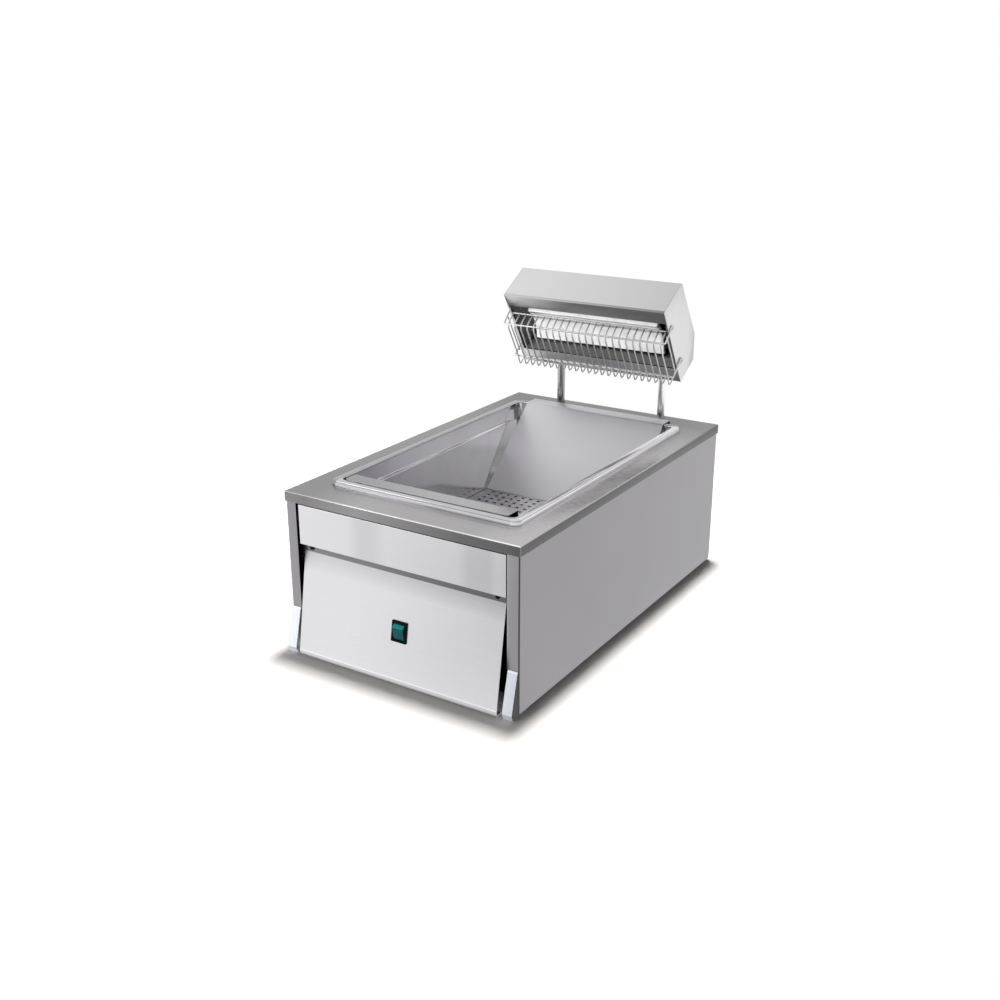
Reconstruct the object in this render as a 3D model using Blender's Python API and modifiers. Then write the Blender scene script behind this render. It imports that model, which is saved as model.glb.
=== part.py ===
"""Counter-top chip warmer: a sheet steel cabinet with a removable deep pan, a perforated
insert and a sloping ramp plate, under a ceramic infrared lamp in a tilted hood on two tubes.

Run it with blender --background --python part.py, or from Blender's text editor.
Sizes are in millimetres: x to the right, y backwards from the front edge of the deck, z up
from the counter. The function at() turns them into metres in the part's own frame, whose
origin is under the middle of the object.
"""

import math

import bmesh
import bpy
from mathutils import Matrix, Vector

MM = 0.001
GAP = 0.3

# Cabinet
WIDTH = 400.0
DEPTH = 650.0
DECK_TOP = 250.0
DECK_LIP = 15.0
SHEET = 1.2
RAIL_SHEET = 1.5
MIDDLE_Y = 323.0
SIDE_FACE_X = 198.5
RETURN_EDGE_X = 181.0
SIDE_BOTTOM = 3.0
CASE_FRONT_Y = 1.5
CASE_BACK_Y = DEPTH - 1.5
TRAY_TOP = SIDE_BOTTOM + 2 * SHEET + GAP

# Front
FASCIA_HALF = 177.0
FASCIA_BOTTOM = 171.5
FASCIA_TOP = 233.0
FASCIA_FACE_Y = 2.0
PANEL_HALF = 173.5
PANEL_TOP_Y = 9.2
PANEL_TOP = 162.5
PANEL_BEND_Y = -16.0
PANEL_BEND = 9.0
PANEL_BOTTOM = 2.2
RAIL_FACE_Y = PANEL_TOP_Y + SHEET + GAP
RAIL_TOP = FASCIA_BOTTOM - GAP
SCREW_X = 160.0
SCREW_Z = 166.9
SWITCH_X = 5.0
SWITCH_Z = 79.8
ROCKER_HALF = 9.2
ROCKER_RADIUS = 12.2
PIVOT_DEPTH = 3.0

# Rear panel and feet
REAR_FACE_Y = CASE_BACK_Y - SHEET - GAP
REAR_PANEL_BOTTOM = TRAY_TOP - 0.5
REAR_PANEL_TOP = 244.5
REAR_SCREW_X = 189.5
REAR_SCREW_LOW = 45.0
REAR_SCREW_HIGH = 205.0
GLAND_X = -150.0
GLAND_Z = 42.0
GLAND_HOLE = 8.3
FOOT_X = 160.0
FOOT_Y = 600.0
FOOT_NECK = 3.0
SCREW_HOLE = 2.1

# Pan, a full size gastronorm container 530 by 325 by 150 deep
RIM_HALF = 162.5
RIM_FRONT_Y = 55.0
RIM_BACK_Y = 585.0
RIM_TOP = DECK_TOP + 8.0
RIM_FLAT = 12.5
PAN_DEPTH = 150.0
PAN_SHEET = 0.8
CUT_MARGIN = 3.5

# Insert and ramp
FLOOR_TOP = 131.0
FLOOR_HALF = 133.5
INSERT_WALL_Y = 92.0
INSERT_FLANGE_Y = 66.0
INSERT_HALF = 137.0
HOLE_PITCH = 15.0
HOLE_RADIUS = 2.1
RAMP_HALF = 138.0
RAMP_BEND_Y = 571.0
RAMP_FOOT_Y = 444.5
RAMP_BACK_Y = 599.5
PLATE_TOP = RIM_TOP + GAP + SHEET

# Lamp: its two tubes, and the hood whose open face leans forward and down
TUBE_X = 99.5
TUBE_Y = 633.0
TUBE_RADIUS = 7.0
TUBE_BORE = 5.8
TUBE_FOOT = 196.0
TUBE_HEAD = 398.0
CLAMP_Z = 377.0
HOOD_HALF = 150.0
HOOD_SHEET = 1.0
HOOD_EDGE = (517.0, 458.0)
HOOD_TILT = math.radians(31.0)
HOOD_TOP = (0.0, 74.0)
HOOD_BACK = (112.0, 79.0)
HOOD_HEEL = (150.0, 56.2)
HOOD_CHIN = (150.0, 0.0)
LIP_EDGE = (27.3, 4.1)
END_LIP_TOP = 28.2
MOUTH_BOTTOM = 121.6
EMITTER_MIDDLE = 74.0
EMITTER_HALF_LENGTH = 122.5

# Wire guard, in the hood's own directions
CROSS_WIRES = 24
CROSS_PITCH = 12.5
CROSS_RADIUS = 1.25
LONG_RADIUS = 1.5
GUARD_SIDE_X = 151.8
GUARD_HOLES = ((43.0, 8.0), (117.5, 11.0))
UPPER_BACK = (41.0, 2.0)
LOWER_BACK = (130.0, -9.5)
UPPER_FRONT = (45.2, -22.2)
LOWER_FRONT = (118.2, -22.8)
SIDE_WIRE_DEEP = -9.0

parts = bpy.data.collections.new("chip_warmer")
cutters = bpy.data.collections.new("cutters")


# Frames

def at(x, y, z):
    """A point of the object, in metres."""
    return Vector((x, y - MIDDLE_Y, z)) * MM


def hood_at(x, down, deep):
    """A point measured from the hood's front top edge: down its open face, and deep into it."""
    y = HOOD_EDGE[0] + down * math.sin(HOOD_TILT) + deep * math.cos(HOOD_TILT)
    z = HOOD_EDGE[1] - down * math.cos(HOOD_TILT) + deep * math.sin(HOOD_TILT)
    return at(x, y, z)


def slope_direction():
    """The lower front panel's upward direction, as (y, z)."""
    rise = Vector((PANEL_TOP_Y - PANEL_BEND_Y, PANEL_TOP - PANEL_BEND))
    return rise.normalized()


def panel_at(x, up, out):
    """A point measured from the switch's middle: up the front panel, and out of its face."""
    rise = slope_direction()
    along = (SWITCH_Z - PANEL_BEND) / rise.y
    y = PANEL_BEND_Y + rise.x * (along + up) - rise.y * out
    z = PANEL_BEND + rise.y * (along + up) + rise.x * out
    return at(x, y, z)


# Objects, materials and modifiers

def clear_scene():
    for old in list(bpy.data.objects):
        bpy.data.objects.remove(old, do_unlink=True)
    bpy.context.scene.collection.children.link(parts)
    bpy.context.scene.collection.children.link(cutters)


def material(name, colour, roughness, metallic=0.0):
    made = bpy.data.materials.new(name)
    made.use_nodes = True
    shader = made.node_tree.nodes["Principled BSDF"]
    shader.inputs["Base Color"].default_value = (*colour, 1.0)
    shader.inputs["Roughness"].default_value = roughness
    shader.inputs["Metallic"].default_value = metallic
    made.diffuse_color = (*colour, 1.0)
    return made


def finish(name, shape, finish_material):
    """Make the object of a bmesh."""
    mesh = bpy.data.meshes.new(name)
    shape.to_mesh(mesh)
    shape.free()
    made = bpy.data.objects.new(name, mesh)
    parts.objects.link(made)
    mesh.materials.append(finish_material)
    return made


def solidify(piece, thickness):
    """Give an open surface its sheet's thickness, behind its outer face."""
    change = piece.modifiers.new("sheet", "SOLIDIFY")
    change.thickness = thickness * MM
    change.offset = -1.0
    change.use_even_offset = True


def bevel(piece, radius, segments=2, angle=25.0):
    change = piece.modifiers.new("bend", "BEVEL")
    change.width = radius * MM
    change.segments = segments
    change.limit_method = "ANGLE"
    change.angle_limit = math.radians(angle)


def boolean(piece, other, operation="DIFFERENCE"):
    change = piece.modifiers.new(operation.lower(), "BOOLEAN")
    change.operation = operation
    change.solver = "EXACT"
    change.object = other


def as_cutter(tool):
    for holder in list(tool.users_collection):
        holder.objects.unlink(tool)
    cutters.objects.link(tool)
    tool.hide_render = True
    tool.display_type = "WIRE"
    return tool


def smooth(piece, angle=35.0):
    piece.data.shade_smooth()
    piece.data.set_sharp_from_angle(angle=math.radians(angle))


# Basic shapes

def block(x_range, y_range, z_range):
    """A box between two corners."""
    low = at(x_range[0], y_range[0], z_range[0])
    high = at(x_range[1], y_range[1], z_range[1])
    shape = bmesh.new()
    bmesh.ops.create_cube(shape, size=1.0)
    bmesh.ops.scale(shape, vec=high - low, verts=shape.verts)
    bmesh.ops.translate(shape, vec=(low + high) / 2, verts=shape.verts)
    return shape


def remove_faces(shape, direction):
    """Open a box on the sides that face a direction."""
    facing = [face for face in shape.faces if face.normal.dot(Vector(direction)) > 0.9]
    bmesh.ops.delete(shape, geom=facing, context="FACES_ONLY")


def folded_tray(name, ranges, open_side, radius, finish_material, sheet=SHEET):
    """A sheet metal tray: a box that is open on one side, with bent edges."""
    shape = block(*ranges)
    shape.normal_update()
    remove_faces(shape, open_side)
    tray = finish(name, shape, finish_material)
    bevel(tray, radius)
    solidify(tray, sheet)
    return tray


def folded_strip(name, place, outline, half_width, radius, finish_material, sheet=SHEET):
    """A bent sheet: its outer face's outline in the frame at or hood_at, the sheet to its right."""
    shape = bmesh.new()
    corners = [shape.verts.new(place(-half_width, a, b)) for a, b in outline]
    edges = [shape.edges.new(pair) for pair in zip(corners, corners[1:])]
    drawn = bmesh.ops.extrude_edge_only(shape, edges=edges)
    moved = [item for item in drawn["geom"] if isinstance(item, bmesh.types.BMVert)]
    bmesh.ops.translate(shape, verts=moved, vec=(2 * half_width * MM, 0.0, 0.0))
    strip = finish(name, shape, finish_material)
    bevel(strip, radius)
    solidify(strip, sheet)
    return strip


def prism(name, points, travel, finish_material):
    """A flat outline of points, extruded by a vector in metres."""
    shape = bmesh.new()
    face = shape.faces.new([shape.verts.new(point) for point in points])
    drawn = bmesh.ops.extrude_face_region(shape, geom=[face])
    moved = [item for item in drawn["geom"] if isinstance(item, bmesh.types.BMVert)]
    bmesh.ops.translate(shape, verts=moved, vec=travel)
    bmesh.ops.recalc_face_normals(shape, faces=shape.faces)
    return finish(name, shape, finish_material)


def rod(start, end, radius, sides):
    """A cylinder between two points in metres."""
    axis = end - start
    turn = axis.to_track_quat("Z", "Y").to_matrix().to_4x4()
    shape = bmesh.new()
    bmesh.ops.create_cone(
        shape, cap_ends=True, segments=sides, radius1=radius * MM, radius2=radius * MM,
        depth=axis.length, matrix=Matrix.Translation((start + end) / 2) @ turn)
    return shape


def drill(piece, start, end, radius, sides=12):
    """Cut a round hole along a line between two points in metres."""
    tool = finish("drill", rod(start, end, radius, sides), piece.data.materials[0])
    boolean(piece, as_cutter(tool))


def turned(name, outline, place, direction, sides, finish_material):
    """A turned piece: (radius, height) points from the top down, about a line."""
    shape = bmesh.new()
    points = [shape.verts.new((radius * MM, 0.0, height * MM)) for radius, height in outline]
    for pair in zip(points, points[1:]):
        shape.edges.new(pair)
    piece = finish(name, shape, finish_material)
    spin = piece.modifiers.new("turn", "SCREW")
    spin.steps = sides
    spin.render_steps = sides
    spin.use_merge_vertices = True
    spin.merge_threshold = 0.00001
    piece.location = place
    piece.rotation_euler = Vector(direction).to_track_quat("Z", "Y").to_euler()
    return piece


def rounded_rectangle(half_x, front_y, back_y, z, radius, steps=5):
    """The corner points of a rounded rectangle, anticlockwise from the front right corner."""
    centres = ((half_x, front_y, 1, 1), (half_x, back_y, 1, -1),
               (-half_x, back_y, -1, -1), (-half_x, front_y, -1, 1))
    points = []
    for number, (x, y, side, inward) in enumerate(centres):
        middle = Vector((x - side * radius, y + inward * radius))
        for step in range(steps + 1):
            angle = math.radians(90 * (number - 1) + 90 * step / steps)
            points.append(at(middle.x + radius * math.cos(angle),
                             middle.y + radius * math.sin(angle), z))
    return points


def lofted(name, loops, finish_material):
    """A skin over closed loops of points, anticlockwise on the open side, with a flat end."""
    shape = bmesh.new()
    rings = [[shape.verts.new(point) for point in points] for points in loops]
    for above, below in zip(rings, rings[1:]):
        turn = list(zip(above, below))
        for (a, b), (c, d) in zip(turn, turn[1:] + turn[:1]):
            shape.faces.new((a, c, d, b))
    shape.faces.new(rings[-1])
    return finish(name, shape, finish_material)


def wire(name, points, radius, finish_material, resolution=1):
    """A round wire through points, made a closed mesh."""
    route = bpy.data.curves.new(name, "CURVE")
    route.dimensions = "3D"
    route.bevel_depth = radius * MM
    route.bevel_resolution = resolution
    route.use_fill_caps = True
    line = route.splines.new("POLY")
    line.points.add(len(points) - 1)
    for place, point in zip(line.points, points):
        place.co = (*point, 1.0)
    guide = bpy.data.objects.new(name, route)
    parts.objects.link(guide)
    graph = bpy.context.evaluated_depsgraph_get()
    mesh = bpy.data.meshes.new_from_object(guide.evaluated_get(graph))
    shape = bmesh.new()
    shape.from_mesh(mesh)
    bmesh.ops.remove_doubles(shape, verts=shape.verts, dist=0.00001)
    bmesh.ops.recalc_face_normals(shape, faces=shape.faces)
    shape.to_mesh(mesh)
    shape.free()
    made = bpy.data.objects.new(name, mesh)
    made.matrix_world = guide.matrix_world
    bpy.data.objects.remove(guide, do_unlink=True)
    made.name = name
    parts.objects.link(made)
    mesh.materials.clear()
    mesh.materials.append(finish_material)
    return made


def rounded_route(points, radius, steps=3):
    """The points of a bent wire: each corner of a route becomes a short arc."""
    route = [points[0]]
    for before, corner, after in zip(points, points[1:], points[2:]):
        back = (before - corner).normalized()
        ahead = (after - corner).normalized()
        reach = min(radius * MM, (before - corner).length / 2, (after - corner).length / 2)
        start = corner + back * reach
        end = corner + ahead * reach
        for step in range(steps + 1):
            part = step / steps
            first = start.lerp(corner, part)
            second = corner.lerp(end, part)
            route.append(first.lerp(second, part))
    route.append(points[-1])
    return route


def spline_route(points, steps):
    """Points of a smooth line through a lead's own points."""
    padded = [points[0]] + list(points) + [points[-1]]
    route = []
    for a, b, c, d in zip(padded, padded[1:], padded[2:], padded[3:]):
        for step in range(steps):
            t = step / steps
            route.append(0.5 * (2 * b + (c - a) * t + (2 * a - 5 * b + 4 * c - d) * t ** 2
                                + (3 * b - a - 3 * c + d) * t ** 3))
    route.append(points[-1])
    return route


# Cabinet

def make_deck(steel):
    """The top: a folded sheet with the pan's cut-out and two holes for the lamp's tubes."""
    deck = folded_tray(
        "deck_top", ((-WIDTH / 2, WIDTH / 2), (0, DEPTH), (DECK_TOP - DECK_LIP, DECK_TOP)),
        (0, 0, -1), 1.5, steel)
    inner = rounded_rectangle(
        RIM_HALF - RIM_FLAT + CUT_MARGIN, RIM_FRONT_Y + RIM_FLAT - CUT_MARGIN,
        RIM_BACK_Y - RIM_FLAT + CUT_MARGIN, DECK_TOP - 10, 12.0)
    boolean(deck, as_cutter(prism("pan_opening", inner, (0, 0, 20 * MM), steel)))
    for side in (-1, 1):
        foot = (side * TUBE_X, TUBE_Y)
        drill(deck, at(*foot, DECK_TOP - 10), at(*foot, DECK_TOP + 10), TUBE_RADIUS + GAP, 16)


def make_side_panels(steel):
    """Each side is one folded sheet: its front return is the post at the cabinet's corner."""
    for word, side in (("left", -1), ("right", 1)):
        faces = sorted((side * RETURN_EDGE_X, side * SIDE_FACE_X))
        panel = folded_tray(
            word + "_side_panel",
            (faces, (CASE_FRONT_Y, CASE_BACK_Y), (SIDE_BOTTOM, DECK_TOP - SHEET - GAP)),
            (-side, 0, 0), 2.5, steel)
        for z in (REAR_SCREW_LOW, REAR_SCREW_HIGH):
            x = side * REAR_SCREW_X
            drill(panel, at(x, CASE_BACK_Y - 5, z), at(x, CASE_BACK_Y + 5, z), SCREW_HOLE, 8)


def make_rear_panel(steel, screw_steel):
    """A flat sheet inside the side panels' rear returns, with four screws and the gland's hole."""
    face = REAR_FACE_Y
    half = SIDE_FACE_X - 3.0
    panel = finish("rear_panel", block((-half, half), (face - SHEET, face),
                                       (REAR_PANEL_BOTTOM, REAR_PANEL_TOP)), steel)
    corners = [(side * REAR_SCREW_X, z) for z in (REAR_SCREW_LOW, REAR_SCREW_HIGH)
               for side in (-1, 1)]
    for number, (x, z) in enumerate(corners, 1):
        drill(panel, at(x, face - 5, z), at(x, face + 5, z), SCREW_HOLE, 8)
        pan_head(f"rear_panel_screw_{number}", at(x, CASE_BACK_Y + GAP, z), (0, 1, 0),
                 3.8, 7.0, screw_steel)
    drill(panel, at(GLAND_X, face - 5, GLAND_Z), at(GLAND_X, face + 5, GLAND_Z), GLAND_HOLE, 16)


def pan_head(name, place, direction, head, shank, finish_material, radius=1.8):
    """A domed screw seated at a point, its head out along a direction and its shank behind."""
    outline = ((0.0, head * 0.62), (head * 0.55, head * 0.5), (head, head * 0.12), (head, 0.0),
               (radius, 0.0), (radius, -shank), (0.0, -shank))
    return turned(name, outline, place, direction, 8, finish_material)


def make_cable_gland(plastic):
    """The gland for the supply cord: a hexagon and dome outside, a nut inside, bored through."""
    bore = 4.2
    stem = GLAND_HOLE - GAP
    hexagon_depth = 5.0
    nut_depth = 5.2
    outline = ((bore, 14.7), (6.6, 14.7), (8.6, 12.0), (8.8, hexagon_depth - 0.2),
               (stem, hexagon_depth - 0.2), (stem, -20.0), (bore, -20.0), (bore, 14.7))
    seat = REAR_FACE_Y + GAP
    gland = turned("cable_gland", outline, at(GLAND_X, seat, GLAND_Z), (0, 1, 0), 16, plastic)
    hexagon = finish("gland_hexagon", rod(at(GLAND_X, seat, GLAND_Z),
                                          at(GLAND_X, seat + hexagon_depth, GLAND_Z), 12.0, 6),
                     plastic)
    drill(hexagon, at(GLAND_X, seat - 5, GLAND_Z), at(GLAND_X, seat + 10, GLAND_Z), 6.5, 16)
    boolean(gland, as_cutter(hexagon), "UNION")
    inner = REAR_FACE_Y - SHEET - GAP
    nut = finish("gland_nut", rod(at(GLAND_X, inner - nut_depth, GLAND_Z),
                                  at(GLAND_X, inner, GLAND_Z), 12.5, 6), plastic)
    drill(nut, at(GLAND_X, inner - 10, GLAND_Z), at(GLAND_X, inner + 5, GLAND_Z), GLAND_HOLE, 16)


def make_base_tray(steel):
    """The floor of the cabinet, resting on the side panels' bottom flanges."""
    half = SIDE_FACE_X - SHEET - GAP
    bottom = SIDE_BOTTOM + SHEET + GAP
    tray = folded_tray(
        "base_tray", ((-half, half), (12.0, REAR_FACE_Y - SHEET - GAP), (bottom, bottom + 20)),
        (0, 0, 1), 1.5, steel)
    for side in (-1, 1):
        drill(tray, at(side * FOOT_X, FOOT_Y, 0), at(side * FOOT_X, FOOT_Y, 12), FOOT_NECK + GAP, 12)


def make_rear_feet(rubber):
    """Push-in rubber feet: a pad under the tray, a neck through its hole and a head above."""
    under = SIDE_BOTTOM + SHEET
    over = TRAY_TOP + GAP
    outline = ((0.0, over + 3.0), (3.2, over + 2.4), (4.8, over), (FOOT_NECK, over),
               (FOOT_NECK, under), (13.0, under), (14.0, 0.6), (13.2, 0.0), (0.0, 0.0))
    for word, side in (("left", -1), ("right", 1)):
        turned(word + "_rear_foot", outline, at(side * FOOT_X, FOOT_Y, 0), (0, 0, 1), 12, rubber)


def make_toe_caps(cap_alloy):
    """Wedge feet at the two front corners, each with a heel under its side panel."""
    outline = ((CASE_FRONT_Y - GAP, 68.6), (-0.8, 66.6), (-15.4, 8.6), (-11.6, 0.0), (28.0, 0.0),
               (28.0, SIDE_BOTTOM - GAP), (CASE_FRONT_Y - GAP, SIDE_BOTTOM - GAP))
    for word, side in (("left", -1), ("right", 1)):
        near, far = sorted((side * 181.2, side * 197.4))
        points = [at(near, y, z) for y, z in outline]
        cap = prism(word + "_toe_cap", points, ((far - near) * MM, 0, 0), cap_alloy)
        bevel(cap, 0.6, 1, 20.0)


def make_cross_rails(steel):
    """The front rail behind the fascia's lower edge, and the rear one that clamps the tubes."""
    front = folded_strip(
        "front_cross_rail", at,
        ((30.0, 146.0), (RAIL_FACE_Y, 146.0), (RAIL_FACE_Y, RAIL_TOP), (36.0, RAIL_TOP)),
        SIDE_FACE_X - SHEET - GAP, 1.5, steel, RAIL_SHEET)
    for side in (-1, 1):
        drill(front, at(side * SCREW_X, RAIL_FACE_Y - 5, SCREW_Z),
              at(side * SCREW_X, RAIL_FACE_Y + 5, SCREW_Z), SCREW_HOLE, 8)
    under_deck = DECK_TOP - SHEET - GAP
    back = REAR_FACE_Y - SHEET - GAP
    rear = folded_strip(
        "rear_cross_rail", at,
        ((606.0, 220.0), (606.0, under_deck), (back, under_deck), (back, 220.0)),
        RETURN_EDGE_X - 2 * GAP, 1.5, steel, RAIL_SHEET)
    for side in (-1, 1):
        foot = (side * TUBE_X, TUBE_Y)
        drill(rear, at(*foot, under_deck - 5), at(*foot, under_deck + 5), TUBE_RADIUS + GAP, 16)


def make_fascia(bright_steel):
    folded_tray(
        "front_fascia",
        ((-FASCIA_HALF, FASCIA_HALF), (FASCIA_FACE_Y, 30.0), (FASCIA_BOTTOM, FASCIA_TOP)),
        (0, 1, 0), 1.2, bright_steel)


def make_lower_panel(bright_steel, screw_steel):
    """The sloping front panel, screwed through its upper flange, with the switch's cut-out."""
    outline = ((-4.0, PANEL_BOTTOM), (PANEL_BEND_Y, PANEL_BOTTOM), (PANEL_BEND_Y, PANEL_BEND),
               (PANEL_TOP_Y, PANEL_TOP), (PANEL_TOP_Y, RAIL_TOP - GAP))
    panel = folded_strip("lower_front_panel", at, outline, PANEL_HALF, 1.0, bright_steel)
    corners = [panel_at(SWITCH_X + x, up, -10) for x, up in
               ((-11, -14), (11, -14), (11, 14), (-11, 14))]
    through = panel_at(0, 0, 10) - panel_at(0, 0, -10)
    boolean(panel, as_cutter(prism("switch_cut_out", corners, through, bright_steel)))
    for word, side in (("left", -1), ("right", 1)):
        x = side * SCREW_X
        drill(panel, at(x, PANEL_TOP_Y - 5, SCREW_Z), at(x, PANEL_TOP_Y + 5, SCREW_Z), SCREW_HOLE, 8)
        pan_head(word + "_panel_screw", at(x, PANEL_TOP_Y - GAP, SCREW_Z), (0, -1, 0), 3.6, 7.5,
                 screw_steel)


# Switch

def make_switch_housing(black_plastic):
    """A snap-in housing: the bezel on the panel, the body behind it and two terminals."""
    def slab(name, half_x, half_up, low, high):
        corners = [panel_at(SWITCH_X + x * half_x, up * half_up, low) for x, up in
                   ((-1, -1), (1, -1), (1, 1), (-1, 1))]
        travel = panel_at(0, 0, high) - panel_at(0, 0, low)
        return prism(name, corners, travel, black_plastic)

    housing = slab("switch_housing", 13.0, 15.5, GAP, 2.4)
    bevel(housing, 0.7, 1)
    boolean(housing, as_cutter(slab("switch_body", 10.6, 13.6, -22.0, 1.0)), "UNION")
    boolean(housing, as_cutter(slab("rocker_pocket", ROCKER_HALF + GAP, ROCKER_RADIUS + GAP,
                                    -17.0, 10.0)))
    for x in (-6.0, 6.0):
        corners = [panel_at(SWITCH_X + x + dx, up, -30.0) for dx, up in
                   ((-0.5, -9), (0.5, -9), (0.5, -4), (-0.5, -4))]
        travel = panel_at(0, 0, -21.0) - panel_at(0, 0, -30.0)
        boolean(housing, as_cutter(prism("switch_terminal", corners, travel, black_plastic)),
                "UNION")
    drill(housing, panel_at(SWITCH_X - 14, 0, -PIVOT_DEPTH), panel_at(SWITCH_X + 14, 0, -PIVOT_DEPTH),
          1.85, 10)


def make_rocker(green_plastic):
    """The lit rocker, its upper end out, turning on two pins in the housing's sides."""
    def edge(angle):
        turn = math.radians(angle)
        return ROCKER_RADIUS * math.cos(turn), ROCKER_RADIUS * math.sin(turn) - PIVOT_DEPTH

    outline = [edge(angle) for angle in (28, 10, -10, -28)]
    outline += [edge(angle) for angle in (208, 190, 170, 161)]
    outline.append((6.5, 6.2))
    points = [panel_at(SWITCH_X - ROCKER_HALF, up, out) for up, out in outline]
    travel = (2 * ROCKER_HALF * MM, 0, 0)
    rocker = prism("switch_rocker", points, travel, green_plastic)
    bevel(rocker, 0.4, 1, 30.0)
    pivot = panel_at(SWITCH_X, 0, -PIVOT_DEPTH)
    reach = Vector((10.4 * MM, 0, 0))
    pins = finish("rocker_pins", rod(pivot - reach, pivot + reach, 1.5, 10), green_plastic)
    boolean(rocker, as_cutter(pins), "UNION")
    rocker.data.transform(Matrix.Translation(-pivot))
    rocker.location = pivot


# Wiring

def make_terminal_block(white_plastic):
    """Where the supply and the leads meet, on the base tray: a base with three screw towers."""
    seat = TRAY_TOP + GAP
    block_piece = finish("terminal_block", block((-82, -42), (560, 584), (seat, seat + 8)),
                         white_plastic)
    for x in (-74.0, -62.0, -50.0):
        tower = finish("tower", block((x - 4.2, x + 4.2), (562, 582), (seat + 6, seat + 17)),
                       white_plastic)
        boolean(block_piece, as_cutter(tower), "UNION")
        drill(block_piece, at(x, 555, seat + 11.5), at(x, 590, seat + 11.5), 2.4, 8)


def make_leads(sleeve):
    """The lead to the switch along the base, and the lamp's lead up inside the left tube."""
    switch_route = (at(-50, 561.0, 17.5), at(-50, 520, 13), at(-20, 380, 10.5), at(20, 200, 10.5),
                    at(8, 75, 14), at(4, 40, 50), panel_at(0, -6, -32))
    wire("switch_lead", spline_route(switch_route, 3), 2.1, sleeve)
    tube = (-TUBE_X, TUBE_Y)
    lamp_route = (at(-74, 583.0, 17.5), at(-76, 600, 18), at(-88, 616, 60), at(-98, TUBE_Y, 150),
                  at(*tube, 200), at(*tube, 300), at(*tube, 392), at(-92, 628, 413),
                  at(-55, 612, 424), hood_at(-8, EMITTER_MIDDLE, 50))
    wire("lamp_lead", spline_route(lamp_route, 3), 2.1, sleeve)


# Lamp stand

def make_tubes(tube_steel, nut_steel):
    """Two tubes through the deck and rear rail, held by nuts below, with clamps in the hood."""
    under_rail = DECK_TOP - SHEET - GAP - RAIL_SHEET
    for word, side in (("left", -1), ("right", 1)):
        foot = (side * TUBE_X, TUBE_Y)
        tube = finish(word + "_lamp_tube", rod(at(*foot, TUBE_FOOT), at(*foot, TUBE_HEAD),
                                               TUBE_RADIUS, 20), tube_steel)
        drill(tube, at(*foot, TUBE_FOOT - 5), at(*foot, TUBE_HEAD + 5), TUBE_BORE, 12)
        nut = finish(word + "_tube_nut", rod(at(*foot, under_rail - GAP - 7),
                                             at(*foot, under_rail - GAP), 10.5, 6), nut_steel)
        drill(nut, at(*foot, under_rail - 15), at(*foot, under_rail + 5), TUBE_RADIUS + GAP, 16)


def make_hood_clamps(alloy, screw_steel):
    """A clamp block round each tube, screwed to the hood's rear wall from outside."""
    wall = HOOD_EDGE[0] + HOOD_BACK[0] * math.sin(HOOD_TILT) + HOOD_BACK[1] * math.cos(HOOD_TILT)
    inner = wall - HOOD_SHEET - GAP
    number = 0
    for word, side in (("left", -1), ("right", 1)):
        x = side * TUBE_X
        clamp = finish(word + "_tube_clamp", block((x - 16, x + 16), (TUBE_Y - 9.5, inner),
                                                   (CLAMP_Z - 10, CLAMP_Z + 10)), alloy)
        drill(clamp, at(x, TUBE_Y, CLAMP_Z - 15), at(x, TUBE_Y, CLAMP_Z + 15), TUBE_RADIUS + GAP, 16)
        for offset in (-12.0, 12.0):
            number += 1
            hole = x + offset
            drill(clamp, at(hole, inner - 10, CLAMP_Z), at(hole, inner + 5, CLAMP_Z), SCREW_HOLE, 8)
            drill(bpy.data.objects["lamp_hood"], at(hole, wall - 5, CLAMP_Z),
                  at(hole, wall + 5, CLAMP_Z), SCREW_HOLE, 8)
            pan_head(f"hood_screw_{number}", at(hole, wall + GAP, CLAMP_Z), (0, 1, 0), 3.6, 8.5,
                     screw_steel)


# Lamp hood

def make_hood(hood_steel):
    """The hood's wrap: two lips at the mouth, a top, a back, a rear wall and an underside.

    The upper lip is bent a little past square, so its lower edge stands deeper in the mouth.
    """
    outline = (LIP_EDGE, (0.0, 0.0), HOOD_TOP, HOOD_BACK, HOOD_HEEL, HOOD_CHIN,
               (MOUTH_BOTTOM, 0.0))
    hood = folded_strip("lamp_hood", hood_at, outline, HOOD_HALF - HOOD_SHEET - GAP, 1.2,
                        hood_steel, HOOD_SHEET)
    for side in (-1, 1):
        foot = (side * TUBE_X, TUBE_Y)
        drill(hood, at(*foot, 335), at(*foot, 368), TUBE_RADIUS + GAP, 16)


def make_hood_ends(hood_steel):
    """The hood's end plates, each with a narrow lip in the mouth and two holes for the guard."""
    outline = ((0.0, 0.0), HOOD_TOP, HOOD_BACK, HOOD_HEEL, HOOD_CHIN)
    lip = ((END_LIP_TOP, 0.1), (MOUTH_BOTTOM - GAP, 0.1), (MOUTH_BOTTOM - GAP, HOOD_SHEET),
           (END_LIP_TOP, HOOD_SHEET))
    for word, side in (("left", -1), ("right", 1)):
        inner = side * (HOOD_HALF - HOOD_SHEET)
        points = [hood_at(inner, down, deep) for down, deep in outline]
        plate = prism(word + "_hood_end", points, (side * HOOD_SHEET * MM, 0, 0), hood_steel)
        lip_points = [hood_at(side * 146.0, down, deep) for down, deep in lip]
        lip_piece = prism("hood_end_lip", lip_points, (side * 3.5 * MM, 0, 0), hood_steel)
        boolean(plate, as_cutter(lip_piece), "UNION")
        for down, deep in GUARD_HOLES:
            drill(plate, hood_at(side * 140, down, deep), hood_at(side * 155, down, deep), 2.1, 10)


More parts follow.
